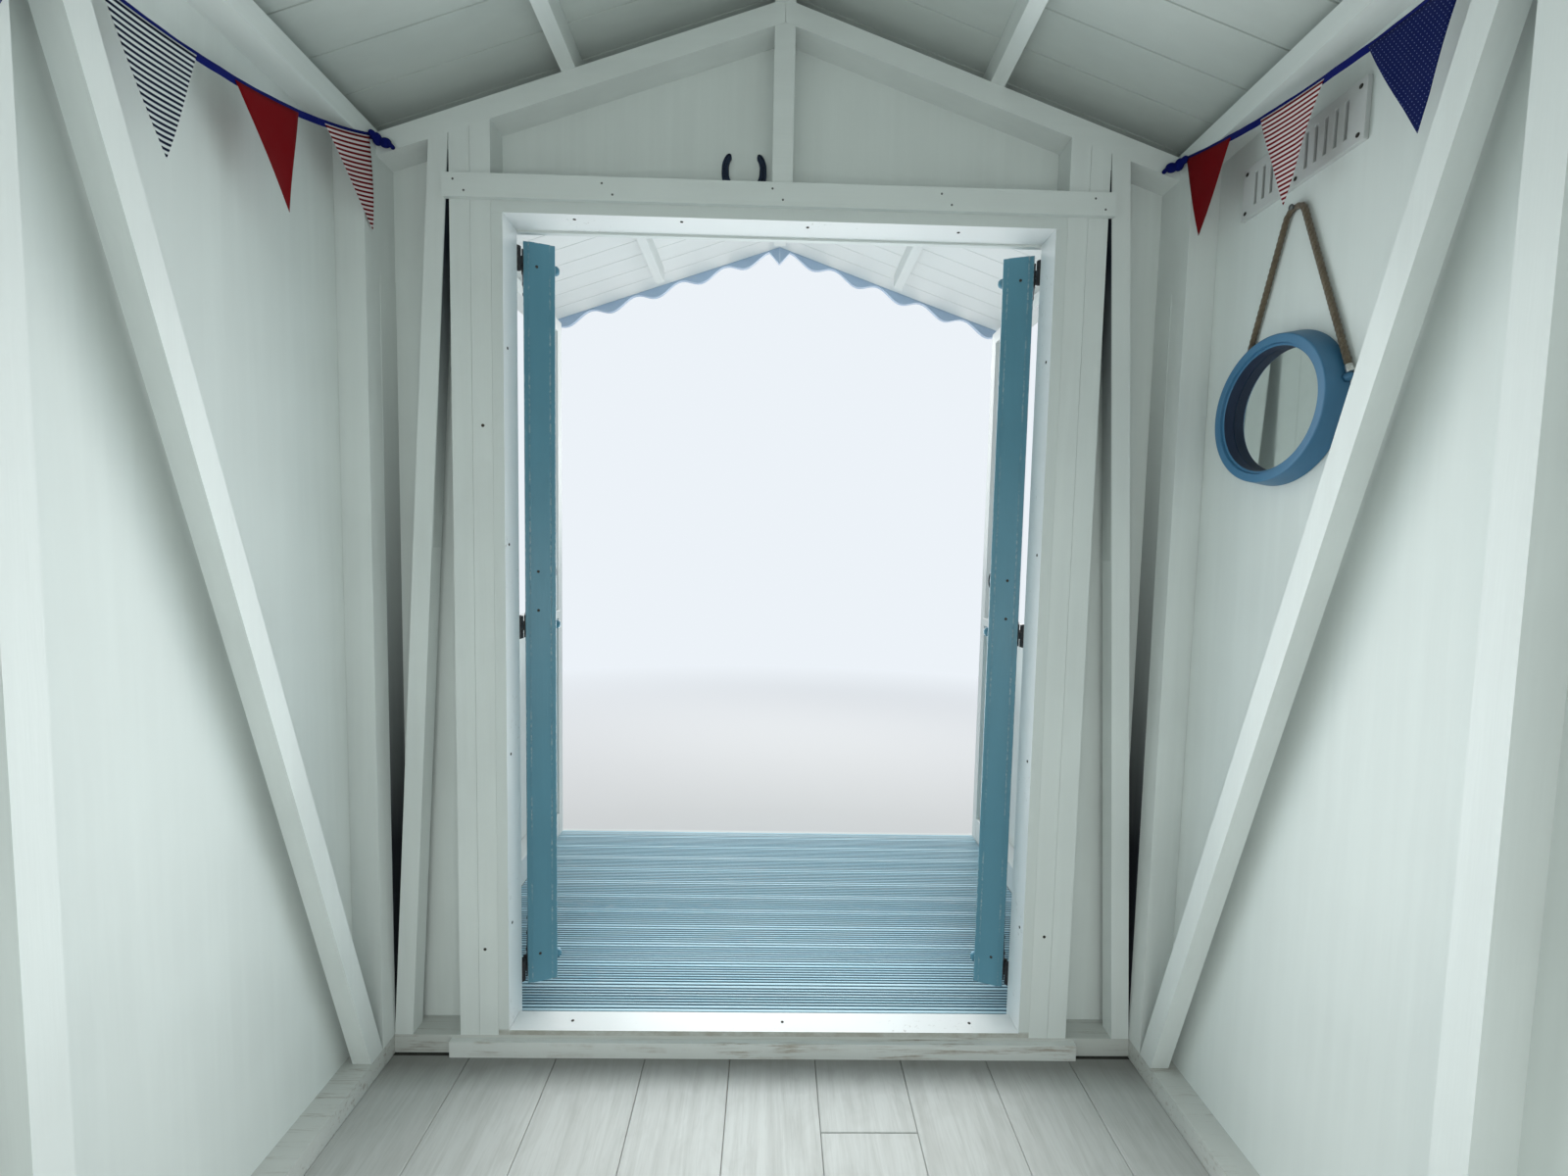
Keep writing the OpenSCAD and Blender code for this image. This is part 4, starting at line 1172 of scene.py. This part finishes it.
def pierced_plate(us, vs, solid, place, thick):
    """A plate cut into cells by lines at us and vs, with some cells left open."""
    build = Build()
    nu, nv = len(us), len(vs)
    build.add([place(u, v, h) for h in (0.0, thick) for v in vs for u in us], [])
    top = nu * nv
    for j in range(nv - 1):
        for i in range(nu - 1):
            if not solid(i, j):
                continue
            a, b, c, d = j * nu + i, j * nu + i + 1, (j + 1) * nu + i + 1, (j + 1) * nu + i
            build.faces += [(d, c, b, a), (top + a, top + b, top + c, top + d)]
            for p, q, di, dj in ((a, b, 0, -1), (b, c, 1, 0), (c, d, 0, 1), (d, a, -1, 0)):
                x, y = i + di, j + dj
                if not (0 <= x < nu - 1 and 0 <= y < nv - 1 and solid(x, y)):
                    build.faces.append((p, q, top + q, top + p))
    return build


slots = [centre + (i - 2) * SLOT_PITCH for centre in (-SLOT_GROUP, SLOT_GROUP) for i in range(5)]
us = [-VENT_W / 2] + [u + half for u in slots for half in (-SLOT_W / 2, SLOT_W / 2)] + [VENT_W / 2]
vs = [-VENT_H / 2, -SLOT_H / 2, SLOT_H / 2, VENT_H / 2]
plate = pierced_plate(us, vs, lambda i, j: j != 1 or i % 2 == 0, on_vent, VENT_T)
plate.piece("slotted_vent", vent_plastic, "vent_plastic", replaces=("vent",), bevel=0.0012)
# Dark sheets behind the two groups of slots: painted shade seen through them
build = Build()
for centre in (-SLOT_GROUP, SLOT_GROUP):
    build.prism(rectangle(centre - SLOT_SHADE_W / 2, centre + SLOT_SHADE_W / 2, -SLOT_SHADE_H / 2, SLOT_SHADE_H / 2),
                on_vent, 0.0002, 0.0012)
build.piece("painted_shade_behind_vent", vent_slot_shade, "vent_plastic")


# Screws and nails

def screw(build, place, radius):
    """A countersunk screw head with a shallow cross recess."""
    rim = arc(radius, 0, 360, 15)
    arm, half = radius * 0.62, radius * 0.14
    cross = [(arm, -half), (arm, half), (half, half), (half, arm), (-half, arm), (-half, half), (-arm, half),
             (-arm, -half), (-half, -half), (-half, -arm), (half, -arm), (half, -half)]
    build.prism(rim, place, 0.0, 0.0006)
    build.prism([(u * 0.82, v * 0.82) for u, v in rim], place, 0.0006, 0.0009)
    build.prism(cross, place, 0.00088, 0.0010)


vent_screws = Build()
for u in (-VENT_W / 2 + 0.011, 0.0, VENT_W / 2 - 0.011):
    for v in (-VENT_H / 2 + 0.012, VENT_H / 2 - 0.012):
        screw(vent_screws, lambda a, b, h: on_vent(u + a, v + b, h + VENT_T), 0.0038)
vent_screws.piece("vent_screws", rusty, "black_iron")

for side, sign in SIDES:
    edge_screws = Build()
    for z in (ROOM_Z + 1.145, ROOM_Z + 1.05, ROOM_Z + 1.865, ROOM_Z + 0.176):
        screw(edge_screws, lambda u, v, h: (-LEAF_X + h, LEAF_Y + 0.030 + u, z + v), 0.0035)
    edge_screws.piece(side + "_edge_screws", rusty, "black_iron", body=side + "_door", move=leaf_matrix(sign))

SCREW_R = 0.0036
old_screws = Build()
way_top = span("door_lining", 2)[1] - 0.025
for x, back in ((0.222, 0.019), (-0.059, 0.027), (0.46, 0.022), (-0.40, 0.030)):
    screw(old_screws, facing(x, FRONT - back, way_top, (0, 0, -1)), SCREW_R)
for x in (-0.040, -0.5, 0.47):
    screw(old_screws, facing(x, FRONT - 0.032, SILL_Z, (0, 0, 1)), SCREW_R)
for sign in (-1, 1):
    for z in (0.52, 0.93, 1.42, 1.86):
        screw(old_screws, facing(sign * WAY_X, FRONT - 0.022, z, (-sign, 0, 0)), 0.0034)
for sign, off, up in ((1, 0.030, 0.257), (1, 0.022, 1.474), (-1, 0.026, 0.30)):
    screw(old_screws, facing(sign * (LINING_X + off), FRONT, ROOM_Z + up, (0, 1, 0)), SCREW_R)
old_screws.piece("lining_screws", rusty, "black_iron")

trim_nails = Build()
rail_z = middle("header_rail", 2)
for x in (-0.70, -0.36, 0.01, 0.38, 0.70):
    for off in (-0.012, 0.011):
        nail(trim_nails, facing(x + off, RAIL_IN, rail_z + off, (0, 1, 0)), *RAIL_NAIL)
for y, way in ((ROOF_Y0 - 0.018, -1), (ROOF_Y1 + 0.018, 1)):
    for x in (-0.9, -0.466, -0.05, 0.05, 0.466, 0.9):
        nail(trim_nails, facing(x, y, under_roof(x) + 0.002, (0, way, 0)), *BARGE_NAIL)
trim_nails.piece("trim_nail_heads", zinc_dull, "black_iron", smooth=True)


# Horseshoe over the doorway

SHOE_X = middle("horseshoe", 0)
SHOE_W = size("horseshoe", 0)
SHOE_H = size("horseshoe", 2)
SHOE_Y = span("horseshoe", 1)[0]
SHOE_Z = span("horseshoe", 2)[0]
SHOE_IRON = 0.018
SHOE_LEG = 0.010
SHOE_STEPS = 96
SHOE_SECTION = ((0.5, 0.0), (0.5, 0.0062), (0.42, 0.0078), (0.22, 0.0078), (0.16, 0.0060), (0.02, 0.0060),
                (-0.04, 0.0078), (-0.42, 0.0078), (-0.5, 0.0062), (-0.5, 0.0))
HOLE_W = 0.0044
HOLE_H = 0.0032
heel = math.acos((SHOE_H - SHOE_W / 2 - SHOE_LEG) / (SHOE_W / 2 - SHOE_IRON / 2))


def shoe_line(t):
    """The middle of the iron from one heel (0) round the toe to the other heel (1), and its outward way."""
    bend_r = SHOE_W / 2 - SHOE_IRON / 2
    quarter = math.pi / 2 * bend_r
    total = 2 * ((math.pi / 2 - heel) * bend_r + SHOE_LEG) + math.pi * bend_r
    s = abs(2 * t - 1) * total / 2
    side = -1 if t < 0.5 else 1
    low = SHOE_W / 2
    if quarter <= s < quarter + SHOE_LEG:
        return (side * bend_r, low + s - quarter), (side, 0.0)
    if s < quarter:
        a = s / bend_r - math.pi / 2
    else:
        a = (s - quarter - SHOE_LEG) / bend_r
        low += SHOE_LEG
    return (side * bend_r * math.cos(a), low + bend_r * math.sin(a)), (side * math.cos(a), math.sin(a))


rings = []
for t in (i / SHOE_STEPS for i in range(SHOE_STEPS + 1)):
    (x, z), (out_x, out_z) = shoe_line(t)
    end = min(t, 1 - t) * 30
    rounding = math.sqrt(max(0.05, min(1.0, end * (2 - min(end, 1.0)))))
    width = SHOE_IRON * (1.0 - 0.25 * (2 * t - 1) ** 2) * rounding
    rings.append([(SHOE_X + x + out_x * off * width, SHOE_Y + depth, SHOE_Z + z + out_z * off * width)
                  for off, depth in SHOE_SECTION])
build = Build()
build.loft(rings)
for t in (0.14, 0.24, 0.34, 0.66, 0.76, 0.86):
    (x, z), way = shoe_line(t)
    x, z = x + way[0] * 0.0015, z + way[1] * 0.0015
    build.prism(rectangle(-HOLE_W / 2, HOLE_W / 2, -HOLE_H / 2, HOLE_H / 2),
                lambda u, v, d: (SHOE_X + x + u, SHOE_Y + d, SHOE_Z + z + v), 0.0055, 0.0085)
build.piece("iron_horseshoe", shoe_iron, "shoe_paint", replaces=("horseshoe",))


# Bunting

TAPE_W = 0.013
TAPE_STEPS = 130
TAPE_Z = span("top_plates", 2)[1] - 0.025
FLAG_W = 0.138
FLAG_H = 0.175
FLAG_ROWS = 22
FLAG_COLS = 14
SWAG = 1.3
FLAG_COUNT = 6
TAPE_OUT = 0.0016
FLAG_OUT = 0.0030
FLAG_RIPPLE = 0.004


def tape_at(y, drop):
    u = 2 * y / SWAG - 1
    return TAPE_Z + 0.008 - drop * (1 - u * u)


def grid_faces(rows, cols):
    """Faces of a grid with cols of them in a row."""
    starts = [j * (cols + 1) + i for j in range(rows) for i in range(cols)]
    return [(a, a + 1, a + cols + 2, a + cols + 1) for a in starts]


def thicken(piece, depth):
    modifier = piece.modifiers.new("cloth thickness", "SOLIDIFY")
    modifier.thickness = depth
    modifier.offset = 0.0


def bunting(side, sign, drop, first, pitch, leans, order):
    """A tape along the wall plate and its flags, with a knot at the front corner. leans are how far the
    flags' tips hang towards the door."""
    node = side + "_bunting"
    face = sign * (ROOM_X - TAPE_OUT)
    tape = Build()
    local = random.Random(len(side) * 31)
    for i in range(TAPE_STEPS + 1):
        y = SWAG * i / TAPE_STEPS
        z = tape_at(y, drop)
        flutter = 0.0006 * math.sin(i * 0.5) + 0.0004 * math.sin(i * 1.3)
        for v in (-0.5, 0.0, 0.5):
            out = flutter + 0.0008 * (1 - abs(2 * v))
            tape.verts.append(Vector((face - sign * out, FRONT + y, z + v * TAPE_W)))
    tape.faces = grid_faces(TAPE_STEPS, 2)
    strip = tape.piece(side + "_navy_tape", tape_cotton, "flag_cloth", replaces=(node,))
    thicken(strip, 0.0008)
    line = tape.verts[1::3]
    length = sum((b - a).length for a, b in zip(line, line[1:]))
    for index in range(FLAG_COUNT):
        flag(side, sign, first + index * pitch, drop, leans[index], order[index % len(order)], index, local)
    knot(side, sign)


def flag(side, sign, y, drop, lean, kind, index, local):
    """A triangle of cotton sewn to the tape, with a soft curl."""
    tilt = -math.asin(lean / FLAG_H)
    curl = local.uniform(-0.010, 0.012)
    phase = local.uniform(0, 6)
    face = sign * (ROOM_X - FLAG_OUT)
    hang = tape_at(y, drop)
    verts, places = [], []
    for v in (j / FLAG_ROWS for j in range(FLAG_ROWS + 1)):
        for i in range(FLAG_COLS + 1):
            u = 2 * i / FLAG_COLS - 1
            sew = tape_at(y + u * FLAG_W / 2 * (1 - v), drop)
            top = sew if v == 0 else hang + (sew - hang) * (1 - 0.3 * v)
            ripple = FLAG_RIPPLE * v * math.sin(3.0 * u * (1 - v) + phase) * (1 - 0.3 * v)
            out = 0.0006 + curl * v * v + ripple
            out += 0.0025 * (u * u) * v * (1 - v) * 4
            verts.append((face - sign * max(out, 0.0004),
                          FRONT + (y + u * (FLAG_W / 2 * (1 - v)) + math.sin(tilt) * FLAG_H * v),
                          top - math.cos(tilt) * FLAG_H * v))
            places.append((0.5 + (i / FLAG_COLS - 0.5) * (1 - v), v))
    name = f"{side}_flag_{index}"
    mesh = bpy.data.meshes.new(name)
    mesh.from_pydata(verts, [], grid_faces(FLAG_ROWS, FLAG_COLS))
    layer = mesh.uv_layers.new(name="cloth")
    for loop in mesh.loops:
        layer.data[loop.index].uv = places[loop.vertex_index]
    cloth = finish_piece(mesh, name, FLAGS[kind], "flag_cloth", replaces=(side + "_bunting",), smooth=True)
    thicken(cloth, 0.0007)


def knot(side, sign):
    """The tape's end, knotted over a nail in the corner of the wall plate, with a short tail."""
    build = Build()
    centre = Vector((sign * (ROOM_X - 0.011), FRONT + 0.013, TAPE_Z - 0.004))
    turns = [math.radians(a) for a in range(15, 180, 15)]
    ball = [(AXIS_R, -1.0)] + [(math.sin(a), -math.cos(a)) for a in turns] + [(AXIS_R, 1.0)]
    for (x, y, z), r in (((0, 0, 0), (0.0095, 0.011, 0.013)),
                         ((-0.016, -0.002, -0.006), (0.013, 0.008, 0.0105)),
                         ((0.003, 0.012, 0.003), (0.007, 0.010, 0.008))):
        lump = centre + Vector((sign * x, y, z))
        build.lathe(ball, lambda u, v, h: lump + Vector((u * r[0], v * r[1], h * r[2])), 20)
    build.tube([centre + Vector((-sign * (0.020 + 0.014 * t), 0.0, -0.008 - 0.010 * t * t))
                for t in (0, 0.25, 0.5, 0.75, 1)], 0.0048, 10)
    piece = build.piece(side + "_tape_knot", tape_cotton, "flag_cloth", smooth=True)
    soft = piece.modifiers.new("soft folds", "REMESH")
    soft.mode = "VOXEL"
    soft.voxel_size = 0.0014
    soft.use_smooth_shade = True


bunting("right", 1, 0.170, 0.0965, 0.2075, (0.070, 0.028, 0.004, 0.0, -0.012, -0.02),
        ("red_stripes", "red", "navy_stripes", "dots"))
bunting("left", -1, 0.104, 0.0955, 0.2165, (-0.004, 0.0, -0.020, -0.004, -0.01, -0.015),
        ("red", "red_stripes", "dots", "navy_stripes"))


# Stage, lights and camera

STAGE_R = 9.0
FADE_FROM = 2.4
FADE_TO = 6.5
FLOOR_COLOUR = (0.70, 0.71, 0.71)
BACKDROP = (0.84, 0.89, 0.94)
SKY_LIGHT = (0.95, 0.97, 1.0)
SKY_STRENGTH = 0.62


def seen(shader):
    """1 for what the camera sees, straight or in a mirror or glass, and 0 for light on the object."""
    rays = shader.node("LightPath")
    mirrored = shader.math("ADD", rays.outputs["Is Glossy Ray"], rays.outputs["Is Transmission Ray"])
    return shader.math("MINIMUM", shader.math("ADD", rays.outputs["Is Camera Ray"], mirrored), 1.0)


def stage_floor():
    """A pale round floor that fades to the colour of the background at its rim."""
    mesh = bpy.data.meshes.new("studio_floor")
    ring = [(x, y, 0) for x, y in arc(STAGE_R, 0, 360, 5)]
    mesh.from_pydata(ring, [], [tuple(range(len(ring)))])
    floor = bpy.data.objects.new("studio_floor", mesh)
    bpy.context.scene.collection.objects.link(floor)
    s = Shader("pale studio floor", FLOOR_COLOUR, 0.95)
    s.fill(s.surface, {"Specular IOR Level": 0.0})
    distance = s.node("VectorMath", {0: s.coords()}, operation="LENGTH").outputs["Value"]
    far = s.times(s.remap(distance, FADE_FROM, FADE_TO), seen(s))
    glow = s.node("Emission", {"Color": BACKDROP})
    fade = s.node("MixShader", {0: far, 1: s.surface.outputs[0], 2: glow.outputs[0]})
    s.fill(s.nodes["Material Output"], {"Surface": fade.outputs[0]})
    mesh.materials.append(s.material)


class Sky(Shader):
    """The world's own node tree."""

    def __init__(self, world):
        world.use_nodes = True
        self.nodes = world.node_tree.nodes
        self.links = world.node_tree.links


def studio_world():
    """Soft light from all round, and a near white background."""
    world = bpy.data.worlds.new("soft studio")
    bpy.context.scene.world = world
    sky = Sky(world)
    light = sky.nodes["Background"]
    sky.fill(light, {"Color": SKY_LIGHT, "Strength": SKY_STRENGTH})
    backdrop = sky.node("Background", {"Color": BACKDROP, "Strength": 1.0})
    blend = sky.node("MixShader", {0: seen(sky), 1: light.outputs[0], 2: backdrop.outputs[0]})
    sky.fill(sky.nodes["World Output"], {"Surface": blend.outputs[0]})


def area_light(name, place, target, size, power, colour):
    lamp = bpy.data.lights.new(name, "AREA")
    lamp.shape = "RECTANGLE"
    lamp.size, lamp.size_y = size
    lamp.energy = power
    lamp.color = colour
    holder = bpy.data.objects.new(name, lamp)
    holder.location = place
    holder.rotation_euler = (Vector(target) - Vector(place)).to_track_quat("-Z", "Y").to_euler()
    holder.visible_camera = False
    bpy.context.scene.collection.objects.link(holder)


stage_floor()
studio_world()
area_light("high soft light", (2.4, -6.5, 5.0), (0, -0.4, 0.6), (5.0, 4.0), 85, (1.0, 0.99, 0.97))
area_light("soft front light", (-0.6, PORCH - 2.6, 2.5), (0, WALL_OUT, 0.9), (3.4, 2.4), 52,
           (1.0, 0.995, 0.98))
area_light("light under the porch", (0.0, PORCH + 0.22, 0.95), (0, WALL_OUT, 1.45), (1.1, 1.0), 13,
           (0.98, 1.0, 1.0))
area_light("light from the doorway", (0.0, WALL_OUT + 0.092, 1.20), (0, BACK, 1.20), (1.06, 1.6), 10.5,
           (0.97, 1.0, 1.0))
area_light("cabin fill", (0.0, BACK - 0.08, 1.0), (0, FRONT, 0.7), (1.6, 1.0), 7, (0.97, 1.0, 0.985))

cam_data = bpy.data.cameras.new("camera")
cam_data.sensor_width = 36
cam_data.lens = 14.72
cam_data.clip_start = 0.02
camera = bpy.data.objects.new("camera", cam_data)
bpy.context.scene.collection.objects.link(camera)
bpy.context.scene.camera = camera

EYE = (0.0055, FRONT + 1.4622, ROOM_Z + 1.2218)
YAW, DIP, ROLL = -0.01874, 0.06695, 0.02051
ahead = Vector((math.sin(YAW) * math.cos(DIP), -math.cos(YAW) * math.cos(DIP), -math.sin(DIP)))
right = Vector((-math.cos(YAW), -math.sin(YAW), 0))
up = right.cross(ahead)
cam_x = math.cos(ROLL) * right + math.sin(ROLL) * up
cam_y = -math.sin(ROLL) * right + math.cos(ROLL) * up
turn = Matrix((cam_x, cam_y, -ahead)).transposed()
camera.matrix_world = Matrix.Translation(EYE) @ turn.to_4x4()

bpy.context.scene.view_settings.view_transform = "Standard"
